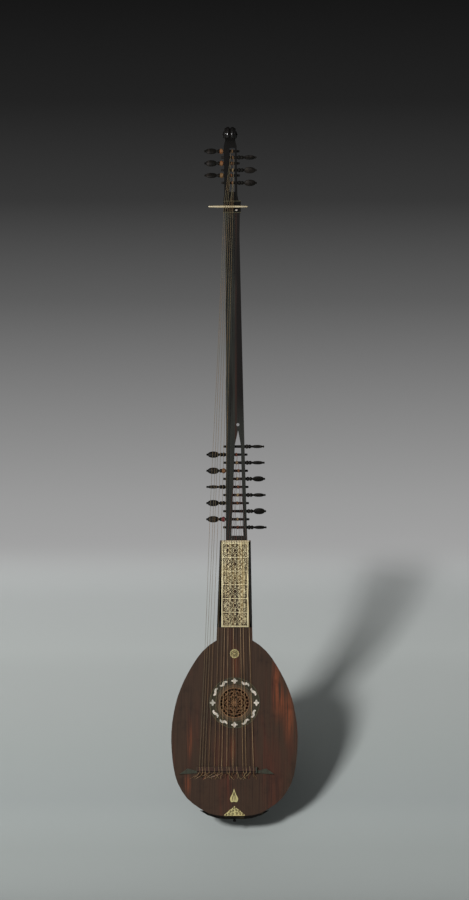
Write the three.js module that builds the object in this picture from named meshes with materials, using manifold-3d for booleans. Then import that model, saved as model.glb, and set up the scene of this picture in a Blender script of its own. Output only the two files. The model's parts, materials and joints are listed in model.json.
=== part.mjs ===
// A theorbo: ribbed bowl, pierced rose, short neck and long second neck that carries the bass strings.
// Millimetres, +Z up along the strings, soundboard facing -Y, origin on the flat foot of the end button.
import * as THREE from "three";
import { mergeVertices } from "three/addons/utils/BufferGeometryUtils.js";
import Module from "manifold-3d";

const wasm = await Module();
wasm.setup();

// Clearances
const seat_gap = 0.3;
const cut_overrun = 3;

// End button
const button_foot_radius = 4.5;
const button_foot_length = 6.2;
const button_shank_radius = 3.2;
const button_shank_length = 26;
const button_sides = 16;

// Soundboard
const board_thickness = 2;
const board_bottom_z = 16.4;
const body_length = 498;
const body_half_width = 179.3;
const board_back_y = -11;
const tongue_length = 37;
const outline_steps = 26;
const widest_share = 0.44;
// Half outline from the tail to the widest place and on to the neck: across, then along.
const outline_shares = [
  [0, 0],
  [0.33, 0.008],
  [0.56, 0.047],
  [0.78, 0.115],
  [0.94, 0.235],
  [1, widest_share],
  [0.943, 0.618],
  [0.817, 0.755],
  [0.605, 0.892],
  [0.441, 0.96],
];

// Bowl
const rib_count = 9;
const rib_thickness = 1.6;
const bowl_depth = 156;
const tail_bulge = 13;
const rib_start_steps = 2;
const rib_angle = Math.PI / rib_count;

// Blocks and bars inside the bowl
const tail_block_end_steps = 4;
const neck_block_steps = 3;
const bar_depth = 14;
const bar_width = 5;
const bar_end_gap = 6;
// Places of the bars along the body.
const bar_place_shares = [0.399, 0.529, 0.76, 0.851];

// Tail cap
const cap_thickness = 3.4;
const cap_lip = 5;
const cap_end_steps = 4;

// Rose and its inlaid ring
const rose_place_share = 0.645;
const rose_radius = 43;
const rose_thickness = 1.6;
const rose_center_hole = 3.2;
const rose_sides = 48;
const ring_inner_radius = 53;
const ring_outer_radius = 72;
const ring_thickness = 1;
// Rings of pierced lozenges: how many, then as shares of the rose's radius their place, length and width.
const rose_hole_shares = [
  { count: 24, radius_share: 0.905, length_share: 0.121, width_share: 0.144, turn_share: 0 },
  { count: 12, radius_share: 0.707, length_share: 0.209, width_share: 0.214, turn_share: 0.5 },
  { count: 12, radius_share: 0.502, length_share: 0.242, width_share: 0.158, turn_share: 0 },
  { count: 6, radius_share: 0.286, length_share: 0.135, width_share: 0.172, turn_share: 0.5 },
  { count: 6, radius_share: 0.177, length_share: 0.126, width_share: 0.074, turn_share: 0 },
];

// Neck, fingerboard and nut
const neck_width_at_body = 102;
const neck_width_at_nut = 87;
const neck_length = 283;
const neck_depth_at_body = 34;
const neck_depth_at_nut = 28;
const neck_offset_at_nut = 2.4;
const neck_sides = 10;
const panel_width = 76;
const panel_thickness = 1.2;
const panel_recess = 0.9;
const panel_end_margin = 0.8;
const nut_length = 78;
const nut_height = 4.6;
const nut_rise = 5;

// Extension with the lower peg-box
const extension_setback = 7;
const extension_lean_share = 0.0134;
const extension_offset = 5.9;
const extension_widths = { base: 61, slot_top: 50.7, middle: 44, top: 39.6, head: 43.6 };
const extension_heights = { slot_top: 312, middle: 595, top: 864, head: 929 };
const extension_depths = { base: 34, slot_top: 30, middle: 25, top: 22, head: 24 };
const extension_chamfer = 6;
const slot_right_wall = 10.4;
const slot_left_wall = 15.8;
const slot_base_height = 12.6;
const slot_shoulder_height = 270;
const slot_shoulder_width = 17;
const slot_apex_height = 312;
const slot_apex_offset = 8.5;
const hanging_hole_radius = 4.5;
const hanging_hole_height = 328;
const hanging_hole_offset = 8.2;

// Upper peg-box with its scroll
const collar_width = 49.6;
const collar_height = 33;
const collar_depth = 30;
const collar_front_rise = 3;
const head_width = 36.8;
const head_offset = -3.2;
const head_height = 166;
const head_depth = 22;
const head_slot_width = 15.6;
const head_slot_offset = 1.7;
const head_slot_base = 26;
const head_slot_top = 152;
const head_shoulder_height = 18;
const scroll_radius = 22.5;
const scroll_eye_radius = 9;
const scroll_eye_width = 38.4;
const scroll_waist_width = 26;
const scroll_sides = 16;

// Upper nut
const upper_nut_length = 111;
const upper_nut_height = 6.4;
const upper_nut_offset = -16.9;
const upper_nut_lift = 13;
const upper_nut_depth = 13;

// Pegs
const peg_tip_radius = 3.3;
const peg_shaft_radius = 4.2;
const peg_tip_reach = 8;
const peg_bore_sides = 10;
const peg_sides = 8;
const bead_radius = 6.6;
const bead_neck_radius = 3.8;
const bead_pitch = 8;
const bead_first = 6.5;
const bead_half_length = 1.8;
const peg_head_start = 20;
const peg_head_length = 36;
const peg_head_half_width = 9;
const peg_head_flatness_share = 0.52;
// Outline of the flat head from the beads to its end: half width, then length.
const peg_head_shares = [
  [0, 0],
  [0.6, 0.09],
  [0.96, 0.28],
  [1, 0.5],
  [0.74, 0.76],
  [0.3, 0.9],
  [0.3, 1],
  [0, 1],
];
const lower_peg_count = 11;
const lower_peg_pitch = 22.93;
const lower_peg_first = 36.6;
const lower_peg_setback = 12;
const upper_peg_setback = 8;
const upper_right_first = 51.8;
const upper_left_first = 72.8;
const upper_right_pitch = 36;
const upper_left_pitch = 34.3;
const upper_peg_pair_count = 3;
// How far each head stands turned from lying flat to the front, in degrees, from the nut upwards.
const lower_head_turns = [75, 10, 20, 15, 70, 80, 40, 5, 75, 12, 85];
const upper_head_turns = [15, 40, 20, 10, 60, 30];

// Strings
const stopped_radius = 0.45;
const diapason_radius = 0.65;
const string_sides = 6;
const stopped_count = 9;
const diapason_count = 6;
const string_end_clearance = 5;
const stopped_nut_first = -22.6;
const stopped_nut_pitch = 7.07;
const diapason_nut_first = -29.5;
const diapason_nut_pitch = 5;
// Places of the strings along the bridge, bass side first.
const diapason_bridge_x = [-99, -91.5, -83.8, -73.1, -57.2, -45];
const stopped_bridge_x = [-36.2, -22.1, -15.5, -4.5, 5.9, 23.8, 32.6, 43, 53.5];
// Lower pegs that the stopped strings go to, counted from the nut, and where each winding starts across the slot.
const stopped_peg_steps = [9, 7, 5, 3, 1, 0, 4, 6, 8];
const stopped_slot_shares = [0.5, 0.45, 0.4, 0.35, 0.35, 0.65, 0.65, 0.6, 0.55];
// Upper pegs that the diapasons go to: right and left side alternate upwards.
const diapason_peg_steps = [5, 3, 1, 0, 2, 4];
const diapason_slot_shares = [0.36, 0.26, 0.2, 0.8, 0.8, 0.8];

// Windings on the pegs
const stopped_turns = 3;
const diapason_turns = 2;
const winding_steps = 8;
const winding_sides = 4;
const winding_gap = 0.6;

// Bridge
const bridge_place_share = 0.2458;
const bridge_height = 17.6;
const bridge_thickness = 8.6;
const bridge_left = -107;
const bridge_right = 64;
const bridge_tip_reach = 50;
const bridge_tip_drop = 4;
const bridge_peak_reach = 26;
const bridge_peak_drop = 4.6;
const bridge_dip_drop = 12.6;
const bridge_tip_thickness = 3;
const bridge_string_lift = 6.6;

// Places worked out from the sizes above
const board_front_y = board_back_y - board_thickness;
const neck_joint_z = board_bottom_z + body_length;
const neck_top_z = neck_joint_z + neck_length;
const fingerboard_bottom_z = neck_joint_z + tongue_length;
const extension_front_y = board_front_y + extension_setback;
const collar_bottom_z = neck_top_z + extension_heights.head;
const collar_top_z = collar_bottom_z + collar_height;
const bridge_bottom_z = board_bottom_z + bridge_place_share * body_length;
const bridge_top_z = bridge_bottom_z + bridge_height;
const string_bridge_y = board_front_y - bridge_string_lift;
const nut_top_y = board_front_y - nut_rise;
const upper_nut_front_y = extension_front_y - collar_front_rise - upper_nut_lift;
const nut_edge_z = neck_top_z + seat_gap;
const upper_nut_center_z = collar_bottom_z + collar_height / 2;
const upper_nut_edge_z = upper_nut_center_z + upper_nut_height / 2 + seat_gap;
const tail_z = board_bottom_z;
const rose_center_z = tail_z + rose_place_share * body_length;

// Geometry helpers

function material(color, roughness, metalness = 0) {
  return new THREE.MeshStandardMaterial({ color, roughness, metalness });
}

function signedVolume(positions, indices) {
  const a = new THREE.Vector3();
  const b = new THREE.Vector3();
  const c = new THREE.Vector3();
  let total = 0;
  for (let i = 0; i < indices.length; i += 3) {
    a.fromArray(positions, indices[i] * 3);
    b.fromArray(positions, indices[i + 1] * 3);
    c.fromArray(positions, indices[i + 2] * 3);
    total += a.dot(b.cross(c)) / 6;
  }
  return total;
}

// A closed body through rings of points, each ring convex, with a fan over both ends.
function loft(rings) {
  const count = rings[0].length;
  const positions = rings.flat().flatMap((p) => [p.x, p.y, p.z]);
  let indices = [];
  for (let r = 0; r + 1 < rings.length; r++) {
    for (let k = 0; k < count; k++) {
      const a = r * count + k;
      const b = r * count + ((k + 1) % count);
      indices.push(a, b, a + count, b, b + count, a + count);
    }
  }
  const last = (rings.length - 1) * count;
  for (let k = 1; k + 1 < count; k++) {
    indices.push(0, k + 1, k);
    indices.push(last, last + k, last + k + 1);
  }
  if (signedVolume(positions, indices) < 0) indices = indices.reverse();
  const geometry = new THREE.BufferGeometry();
  geometry.setAttribute("position", new THREE.Float32BufferAttribute(positions, 3));
  geometry.setIndex(indices);
  return geometry;
}

// A plate drawn in X and Z whose back lies at back_y and whose front lies thickness nearer the viewer.
function plate(shape, thickness, back_y, curveSegments = 1) {
  const geometry = new THREE.ExtrudeGeometry(shape, { depth: thickness, bevelEnabled: false, curveSegments });
  return geometry.rotateX(Math.PI / 2).translate(0, back_y, 0);
}

function shapeOf(points) {
  return new THREE.Shape(points.map(([x, z]) => new THREE.Vector2(x, z)));
}

function circlePoints(radius, sides, x, z) {
  return Array.from({ length: sides }, (_, k) => {
    const angle = (2 * Math.PI * k) / sides;
    return [x + radius * Math.cos(angle), z + radius * Math.sin(angle)];
  });
}

function solidOf(geometry) {
  const bare = geometry.clone();
  bare.deleteAttribute("normal");
  bare.deleteAttribute("uv");
  const merged = mergeVertices(bare);
  const kept = [];
  for (let i = 0; i < merged.index.count; i += 3) {
    const [a, b, c] = [merged.index.getX(i), merged.index.getX(i + 1), merged.index.getX(i + 2)];
    if (a !== b && b !== c && a !== c) kept.push(a, b, c);
  }
  return new wasm.Manifold(
    new wasm.Mesh({
      numProp: 3,
      vertProperties: merged.attributes.position.array,
      triVerts: new Uint32Array(kept),
    }),
  );
}

function geometryOf(solid) {
  const mesh = solid.getMesh();
  const geometry = new THREE.BufferGeometry();
  geometry.setAttribute("position", new THREE.BufferAttribute(mesh.vertProperties, 3));
  geometry.setIndex(new THREE.BufferAttribute(mesh.triVerts, 1));
  return geometry;
}

function cut(body, ...tools) {
  return geometryOf(tools.reduce((solid, tool) => solid.subtract(solidOf(tool)), solidOf(body)));
}

function join(...pieces) {
  return geometryOf(pieces.map(solidOf).reduce((solid, piece) => solid.add(piece)));
}

function box(x0, x1, y0, y1, z0, z1) {
  const geometry = new THREE.BoxGeometry(x1 - x0, y1 - y0, z1 - z0);
  return geometry.translate((x0 + x1) / 2, (y0 + y1) / 2, (z0 + z1) / 2);
}

// A many-sided bar along X whose flats clear a round shaft of the given radius.
function bore(radius, x0, x1, y, z) {
  const reach = (radius + seat_gap) / Math.cos(Math.PI / peg_bore_sides);
  const geometry = new THREE.CylinderGeometry(reach, reach, x1 - x0, peg_bore_sides);
  return geometry.rotateZ(Math.PI / 2).translate((x0 + x1) / 2, y, z);
}

// A round cord through the points, with each ring in the plane that halves the bend.
function cord(points, radius, sides) {
  const rings = points.map((point, i) => {
    const before = points[Math.max(i - 1, 0)];
    const after = points[Math.min(i + 1, points.length - 1)];
    const along = after.clone().sub(before).normalize();
    const side = new THREE.Vector3(1, 0, 0).addScaledVector(along, -along.x).normalize();
    const up = along.clone().cross(side);
    return Array.from({ length: sides }, (_, k) => {
      const angle = (2 * Math.PI * (k + 1 / 2)) / sides;
      return point
        .clone()
        .addScaledVector(side, radius * Math.cos(angle))
        .addScaledVector(up, radius * Math.sin(angle));
    });
  });
  return loft(rings);
}

// Body outline and bowl

const neck_corner = new THREE.Vector2(neck_width_at_body / 2, body_length);
const outline_points = outline_shares.map(
  ([across, along]) => new THREE.Vector2(across * body_half_width, along * body_length),
);
const half_outline = new THREE.SplineCurve([...outline_points, neck_corner]).getSpacedPoints(outline_steps);

function outlineNormal(i) {
  const before = half_outline[Math.max(i - 1, 0)];
  const after = half_outline[Math.min(i + 1, outline_steps)];
  const along = after.clone().sub(before).normalize();
  return new THREE.Vector2(along.y, -along.x);
}

// Depth of the bowl behind a place of the outline: full over the body, the neck's own depth at the joint.
function depthAt(half_width, along) {
  const body_share = bowl_depth / body_half_width;
  const neck_share = neck_depth_at_body / (neck_width_at_body / 2);
  const blend = THREE.MathUtils.smoothstep(along, body_length / 2, body_length);
  return half_width * THREE.MathUtils.lerp(body_share, neck_share, blend);
}

// How far the tail swells below the soundboard's edge at this place of the bowl.
function bulgeAt(half_width, along) {
  const widest = widest_share * body_length;
  return along < widest ? tail_bulge * Math.sin((Math.PI * half_width) / body_half_width) : 0;
}

function bowlPoint(i, angle, inset) {
  const { x: half_width, y: along } = half_outline[i];
  const normal = outlineNormal(i);
  const across = half_width - inset * normal.x;
  const deep = depthAt(half_width, along) - inset * Math.abs(normal.x);
  const drop = bulgeAt(half_width, along) * Math.sin(angle);
  return new THREE.Vector3(
    across * Math.cos(angle),
    board_back_y + seat_gap + deep * Math.sin(angle),
    tail_z + along - inset * normal.y - drop,
  );
}

function bowlRing(i, inset) {
  return Array.from({ length: rib_count + 1 }, (_, k) => bowlPoint(i, k * rib_angle, inset));
}

function ribGeometry(k) {
  const rings = [];
  for (let i = rib_start_steps; i <= outline_steps; i++) {
    const { x: half_width, y: along } = half_outline[i];
    const reach = Math.min(half_width, depthAt(half_width, along));
    const margin = seat_gap / 2 / reach;
    const from = k * rib_angle + (k > 0 ? margin : 0);
    const to = (k + 1) * rib_angle - (k + 1 < rib_count ? margin : 0);
    rings.push([
      bowlPoint(i, from, 0),
      bowlPoint(i, to, 0),
      bowlPoint(i, to, rib_thickness),
      bowlPoint(i, from, rib_thickness),
    ]);
  }
  return loft(rings);
}

function blockGeometry(first, last) {
  const inset = rib_thickness + seat_gap;
  const rings = [];
  for (let i = first; i <= last; i++) rings.push(bowlRing(i, inset).reverse());
  return loft(rings);
}

function halfWidthAt(z) {
  const along = z - tail_z;
  const next = half_outline.findIndex((p) => p.y >= along);
  const a = half_outline[next - 1];
  const b = half_outline[next];
  return THREE.MathUtils.mapLinear(along, a.y, b.y, a.x, b.x);
}

function buttonBore() {
  const reach = button_shank_radius + seat_gap;
  const geometry = new THREE.CylinderGeometry(reach, reach, 2 * button_shank_length, button_sides);
  return geometry.rotateX(Math.PI / 2);
}

function tailCapGeometry() {
  const withFront = (ring) => {
    const first = ring[0];
    const last = ring[ring.length - 1];
    return [
      new THREE.Vector3(first.x, board_front_y, first.z),
      ...ring,
      new THREE.Vector3(last.x, board_front_y, last.z),
    ];
  };
  // The cap is thickest at the front edge in the middle of the tail.
  const outerRing = (i) => {
    const lip = cap_lip * (1 - (i - 1) / cap_end_steps);
    return Array.from({ length: rib_count + 1 }, (_, k) => {
      const angle = k * rib_angle;
      return bowlPoint(i, angle, -seat_gap - cap_thickness - lip * Math.abs(Math.cos(angle)));
    });
  };
  const outer = [];
  for (let i = 1; i <= cap_end_steps; i++) outer.push(withFront(outerRing(i)));
  const inner = [];
  for (let i = 1; i <= cap_end_steps + 1; i++) {
    const ring = withFront(bowlRing(i, -seat_gap));
    for (const end of [ring[0], ring[ring.length - 1]]) end.y -= cut_overrun;
    inner.push(ring);
  }
  for (const point of inner[0]) point.z -= half_outline[1].y;
  return cut(loft(outer), loft(inner), buttonBore());
}

function tailBlockGeometry() {
  return cut(blockGeometry(rib_start_steps, tail_block_end_steps), buttonBore());
}

function barGeometry(z) {
  const half_length = halfWidthAt(z) - bar_end_gap;
  const back = board_back_y + seat_gap;
  const tip_depth = bar_depth / 2;
  const ring = (x, depth) => [
    new THREE.Vector3(x, back, z - bar_width / 2),
    new THREE.Vector3(x, back, z + bar_width / 2),
    new THREE.Vector3(x, back + depth, z + bar_width / 4),
    new THREE.Vector3(x, back + depth, z - bar_width / 4),
  ];
  return loft([
    ring(-half_length, tip_depth),
    ring(-half_length + bar_depth, bar_depth),
    ring(half_length - bar_depth, bar_depth),
    ring(half_length, tip_depth),
  ]);
}

// Soundboard, rose and ring

function soundboardGeometry() {
  const right = half_outline.slice(1).map((p) => [p.x, tail_z + p.y]);
  const tongue_share = tongue_length / neck_length;
  const tongue_half = THREE.MathUtils.lerp(neck_width_at_body, neck_width_at_nut, tongue_share) / 2;
  const tongue_x = neck_offset_at_nut * tongue_share;
  const top = fingerboard_bottom_z - seat_gap;
  const left = right.map(([x, z]) => [-x, z]).reverse();
  const outline = [
    [0, tail_z],
    ...right,
    [tongue_x + tongue_half, top],
    [tongue_x - tongue_half, top],
    ...left,
  ];
  const board = plate(shapeOf(outline), board_thickness, board_back_y);
  const hole = circlePoints(rose_radius + seat_gap, rose_sides, 0, rose_center_z);
  const opening = plate(shapeOf(hole), board_thickness + 2 * cut_overrun, board_back_y + cut_overrun);
  const groove = ringShape(ring_inner_radius - seat_gap, ring_outer_radius + seat_gap);
  const groove_depth = ring_thickness + seat_gap;
  const channel = plate(groove, groove_depth + cut_overrun, board_front_y + groove_depth);
  return cut(board, opening, channel);
}

function ringShape(inner, outer) {
  const shape = shapeOf(circlePoints(outer, rose_sides, 0, rose_center_z));
  const hole = circlePoints(inner, rose_sides, 0, rose_center_z).map(([x, z]) => new THREE.Vector2(x, z));
  shape.holes.push(new THREE.Path(hole.reverse()));
  return shape;
}

function roseGeometry() {
  const shape = ringShape(rose_center_hole, rose_radius);
  for (const { count, radius_share, length_share, width_share, turn_share } of rose_hole_shares) {
    const radius = radius_share * rose_radius;
    const length = length_share * rose_radius;
    const width = width_share * rose_radius;
    for (let k = 0; k < count; k++) {
      const angle = (2 * Math.PI * (k + turn_share)) / count;
      const out = new THREE.Vector2(Math.cos(angle), Math.sin(angle));
      const side = new THREE.Vector2(-out.y, out.x);
      const center = out.clone().multiplyScalar(radius).add(new THREE.Vector2(0, rose_center_z));
      const corner = (along, across) =>
        center.clone().addScaledVector(out, along / 2).addScaledVector(side, across / 2);
      const corners = [corner(length, 0), corner(0, -width), corner(-length, 0), corner(0, width)];
      shape.holes.push(new THREE.Path(corners));
    }
  }
  return plate(shape, rose_thickness, board_front_y + rose_thickness);
}

// Bridge

function bridgeGeometry() {
  const back = board_front_y - seat_gap;
  const top = bridge_top_z;
  const bottom = bridge_bottom_z;
  const bar = box(bridge_left, bridge_right, back - bridge_thickness, back, bottom, top);
  const tip = (x, direction) => [
    [x - direction * cut_overrun, top - bridge_dip_drop],
    [x + direction * bridge_peak_reach, top - bridge_peak_drop],
    [x + direction * bridge_tip_reach, bottom - bridge_tip_drop],
    [x - direction * cut_overrun, bottom],
  ];
  const points = [...tip(bridge_right, 1), ...tip(bridge_left, -1).reverse()];
  const wings = plate(shapeOf(points), bridge_tip_thickness, back);
  return join(bar, wings);
}

// Neck, fingerboard, ivory panel and nut

function neckHalfWidthAt(z) {
  const share = (z - neck_joint_z) / neck_length;
  return THREE.MathUtils.lerp(neck_width_at_body, neck_width_at_nut, share) / 2;
}

function neckOffsetAt(z) {
  return (neck_offset_at_nut * (z - neck_joint_z)) / neck_length;
}

function neckGeometry() {
  const front = board_back_y + seat_gap;
  const ring = (z, depth) =>
    Array.from({ length: neck_sides + 1 }, (_, k) => {
      const angle = (Math.PI * k) / neck_sides;
      const x = neckOffsetAt(z) + neckHalfWidthAt(z) * Math.cos(angle);
      return new THREE.Vector3(x, front + depth * Math.sin(angle), z);
    });
  return loft([ring(neck_joint_z + seat_gap, neck_depth_at_body), ring(neck_top_z, neck_depth_at_nut)]);
}

const fingerboard_top_z = neck_top_z - nut_height - seat_gap;

function fingerboardGeometry() {
  const corner = (z, side) => [neckOffsetAt(z) + side * neckHalfWidthAt(z), z];
  const points = [
    corner(fingerboard_bottom_z, 1),
    corner(fingerboard_top_z, 1),
    corner(fingerboard_top_z, -1),
    corner(fingerboard_bottom_z, -1),
  ];
  const board = plate(shapeOf(points), board_thickness, board_back_y);
  return cut(board, panelPlate(seat_gap, panel_recess + seat_gap, board_front_y + panel_recess + seat_gap));
}

function panelPlate(margin, thickness, back_y) {
  const z0 = fingerboard_bottom_z + panel_end_margin - margin;
  const z1 = fingerboard_top_z - panel_end_margin + margin;
  const x = neckOffsetAt((z0 + z1) / 2);
  const overrun = margin > 0 ? cut_overrun : 0;
  const half = panel_width / 2 + margin;
  return box(x - half, x + half, back_y - thickness - overrun, back_y, z0, z1);
}

function panelGeometry() {
  return panelPlate(0, panel_thickness, board_front_y + panel_recess);
}

function nutGeometry() {
  const x = neck_offset_at_nut;
  const front = nut_top_y + stopped_radius + seat_gap;
  return box(x - nut_length / 2, x + nut_length / 2, front, board_back_y, neck_top_z - nut_height, neck_top_z);
}

// Extension and lower peg-box

function extensionCenter(z) {
  return extension_offset - (z - neck_top_z) * extension_lean_share;
}

function extensionSize(z, table) {
  const height = z - neck_top_z;
  const names = ["slot_top", "middle", "top", "head"];
  let lower = 0;
  let size = table.base;
  for (const name of names) {
    const upper = extension_heights[name];
    if (height <= upper) return THREE.MathUtils.mapLinear(height, lower, upper, size, table[name]);
    lower = upper;
    size = table[name];
  }
  return size;
}

// An oblong section with its two back corners taken off.
function boxRing(x, half_width, front, depth, chamfer, z) {
  const back = front + depth;
  return [
    new THREE.Vector3(x - half_width, front, z),
    new THREE.Vector3(x + half_width, front, z),
    new THREE.Vector3(x + half_width, back - chamfer, z),
    new THREE.Vector3(x + half_width - chamfer, back, z),
    new THREE.Vector3(x - half_width + chamfer, back, z),
    new THREE.Vector3(x - half_width, back - chamfer, z),
  ];
}

function extensionRing(z) {
  const half_width = extensionSize(z, extension_widths) / 2;
  const depth = extensionSize(z, extension_depths);
  return boxRing(extensionCenter(z), half_width, extension_front_y, depth, extension_chamfer, z);
}

function slotEdges(z) {
  const height = z - neck_top_z;
  const base_half = extensionSize(neck_top_z + slot_base_height, extension_widths) / 2;
  const shoulder_half = extensionSize(neck_top_z + slot_shoulder_height, extension_widths) / 2;
  const left_base = slot_left_wall - base_half;
  const left_shoulder = shoulder_half - slot_right_wall - slot_shoulder_width;
  const left = THREE.MathUtils.mapLinear(height, slot_base_height, slot_shoulder_height, left_base, left_shoulder);
  const right = extensionSize(z, extension_widths) / 2 - slot_right_wall;
  return [extensionCenter(z) + left, extensionCenter(z) + right];
}

function slotTool() {
  const base = neck_top_z + slot_base_height;
  const shoulder = neck_top_z + slot_shoulder_height;
  const apex = neck_top_z + slot_apex_height;
  const [base_left, base_right] = slotEdges(base);
  const [shoulder_left, shoulder_right] = slotEdges(shoulder);
  const points = [
    [base_left, base],
    [base_right, base],
    [shoulder_right, shoulder],
    [extensionCenter(apex) + slot_apex_offset, apex],
    [shoulder_left, shoulder],
  ];
  return throughTool(points);
}

function throughTool(points) {
  const depth = extension_depths.base + 2 * cut_overrun;
  return plate(shapeOf(points), depth, extension_front_y + extension_depths.base + cut_overrun);
}

function extensionGeometry() {
  const heights = [extension_heights.slot_top, extension_heights.middle, extension_heights.top];
  const stations = [neck_top_z + seat_gap, ...heights.map((h) => neck_top_z + h), collar_bottom_z - seat_gap];
  const hole_z = neck_top_z + hanging_hole_height;
  const hole_x = extensionCenter(hole_z) + hanging_hole_offset;
  const hole = throughTool(circlePoints(hanging_hole_radius, peg_bore_sides, hole_x, hole_z));
  const bores = lower_pegs.map(({ y, z }) => {
    const reach = extension_widths.base / 2 + cut_overrun;
    return bore(peg_shaft_radius, extensionCenter(z) - reach, extensionCenter(z) + reach, y, z);
  });
  return cut(loft(stations.map(extensionRing)), slotTool(), hole, ...bores);
}

// Upper peg-box with collar and scroll

function headCenter(z) {
  return extensionCenter(z) + head_offset;
}

function headSlotEdges() {
  const middle = extensionCenter(collar_top_z + head_height / 2) + head_slot_offset;
  return [middle - head_slot_width / 2, middle + head_slot_width / 2];
}

function upperPegboxGeometry() {
  const collar_center = extensionCenter(upper_nut_center_z);
  const collar_front = extension_front_y - collar_front_rise;
  const half = collar_width / 2;
  const collar = box(
    collar_center - half,
    collar_center + half,
    collar_front,
    collar_front + collar_depth,
    collar_bottom_z,
    collar_top_z,
  );
  const shoulder_half = extension_widths.head / 2;
  const ring = (half_width, height) => {
    const z = collar_top_z + height;
    return boxRing(headCenter(z), half_width, extension_front_y, head_depth, extension_chamfer / 2, z);
  };
  const walls = loft([
    ring(shoulder_half, -cut_overrun),
    ring(shoulder_half, 0),
    ring(head_width / 2, head_shoulder_height),
    ring(head_width / 2, head_height - scroll_radius / 2),
    ring(scroll_waist_width / 2, head_height + scroll_radius / 2),
  ]);
  const scroll_z = collar_top_z + head_height + scroll_radius;
  const scroll_y = extension_front_y + head_depth / 2;
  const disc = (radius, width) => {
    const geometry = new THREE.CylinderGeometry(radius, radius, width, scroll_sides);
    return geometry.rotateZ(Math.PI / 2).translate(headCenter(scroll_z), scroll_y, scroll_z);
  };
  const [left, right] = headSlotEdges();
  const slot_base = collar_top_z + head_slot_base;
  const slot_top = collar_top_z + head_slot_top;
  const slot = box(
    left,
    right,
    extension_front_y - cut_overrun,
    extension_front_y + head_depth + cut_overrun,
    slot_base,
    slot_top,
  );
  const bores = upper_pegs.map(({ y, z }) =>
    bore(peg_shaft_radius, headCenter(z) - head_width, headCenter(z) + head_width, y, z),
  );
  const body = join(collar, walls, disc(scroll_radius, scroll_waist_width), disc(scroll_eye_radius, scroll_eye_width));
  const groove_half = upper_nut_height / 2 + seat_gap;
  const groove = box(
    collar_center - collar_width,
    collar_center + collar_width,
    collar_front - cut_overrun,
    upperNutBack() + seat_gap,
    upper_nut_center_z - groove_half,
    upper_nut_center_z + groove_half,
  );
  return cut(body, slot, groove, ...bores);
}

function upperNutBack() {
  return upper_nut_front_y + diapason_radius + seat_gap + upper_nut_depth;
}

function upperNutGeometry() {
  const x = extensionCenter(upper_nut_center_z) + upper_nut_offset + diapason_nut_pitch;
  const front = upper_nut_front_y + diapason_radius + seat_gap;
  const half = upper_nut_length / 2;
  const z0 = upper_nut_center_z - upper_nut_height / 2;
  const z1 = upper_nut_center_z + upper_nut_height / 2;
  return box(x - half, x + half, front, upperNutBack(), z0, z1);
}

// Pegs, each with the wound end of its string

function makeLowerPegs() {
  return Array.from({ length: lower_peg_count }, (_, k) => {
    const z = neck_top_z + lower_peg_first + k * lower_peg_pitch;
    const side = k % 2 === 0 ? 1 : -1;
    return {
      name: `lower_peg_${k + 1}`,
      side,
      z,
      y: extension_front_y + lower_peg_setback,
      wall: extensionCenter(z) + (side * extensionSize(z, extension_widths)) / 2,
      span: extensionSize(z, extension_widths),
      turn: lower_head_turns[k],
    };
  });
}

function makeUpperPegs() {
  return Array.from({ length: 2 * upper_peg_pair_count }, (_, k) => {
    const row = Math.floor(k / 2);
    const side = k % 2 === 0 ? 1 : -1;
    const left_z = upper_left_first + row * upper_left_pitch;
    const right_z = upper_right_first + row * upper_right_pitch;
    const z = collar_top_z + (side < 0 ? left_z : right_z);
    return {
      name: `upper_peg_${k + 1}`,
      side,
      z,
      y: extension_front_y + upper_peg_setback,
      wall: headCenter(z) + (side * head_width) / 2,
      span: head_width,
      turn: upper_head_turns[k],
    };
  });
}

const lower_pegs = makeLowerPegs();
const upper_pegs = makeUpperPegs();

// A string's route from bridge over nut to the tangent of its winding, and the winding's first angle.
function route(bridge_x, nut, peg, winding_x, radius) {
  const coil_radius = peg_shaft_radius + radius + seat_gap;
  const ahead = peg.y - nut.y;
  const above = peg.z - nut.z;
  const distance = Math.hypot(ahead, above);
  const angle = Math.atan2(ahead, above) - Math.asin(coil_radius / distance);
  const touch = new THREE.Vector3(
    winding_x,
    peg.y - coil_radius * Math.cos(angle),
    peg.z + coil_radius * Math.sin(angle),
  );
  const back = nut.clone().sub(touch).setLength(string_end_clearance);
  const bridge = new THREE.Vector3(bridge_x, string_bridge_y, bridge_top_z + seat_gap);
  return { points: [bridge, nut, touch.clone().add(back)], angle, coil_radius, winding_x, radius };
}

function stoppedRoute(i) {
  const peg = lower_pegs[stopped_peg_steps[i]];
  const [left, right] = slotEdges(peg.z);
  const winding_x = THREE.MathUtils.lerp(left, right, stopped_slot_shares[i]);
  const nut = new THREE.Vector3(stopped_nut_first + i * stopped_nut_pitch, nut_top_y, nut_edge_z);
  return route(stopped_bridge_x[i], nut, peg, winding_x, stopped_radius);
}

function diapasonRoute(i) {
  const peg = upper_pegs[diapason_peg_steps[i]];
  const [left, right] = headSlotEdges();
  const winding_x = THREE.MathUtils.lerp(left, right, diapason_slot_shares[i]);
  const nut_x = diapason_nut_first + i * diapason_nut_pitch;
  const nut = new THREE.Vector3(nut_x, upper_nut_front_y, upper_nut_edge_z);
  return route(diapason_bridge_x[i], nut, peg, winding_x, diapason_radius);
}

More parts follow.
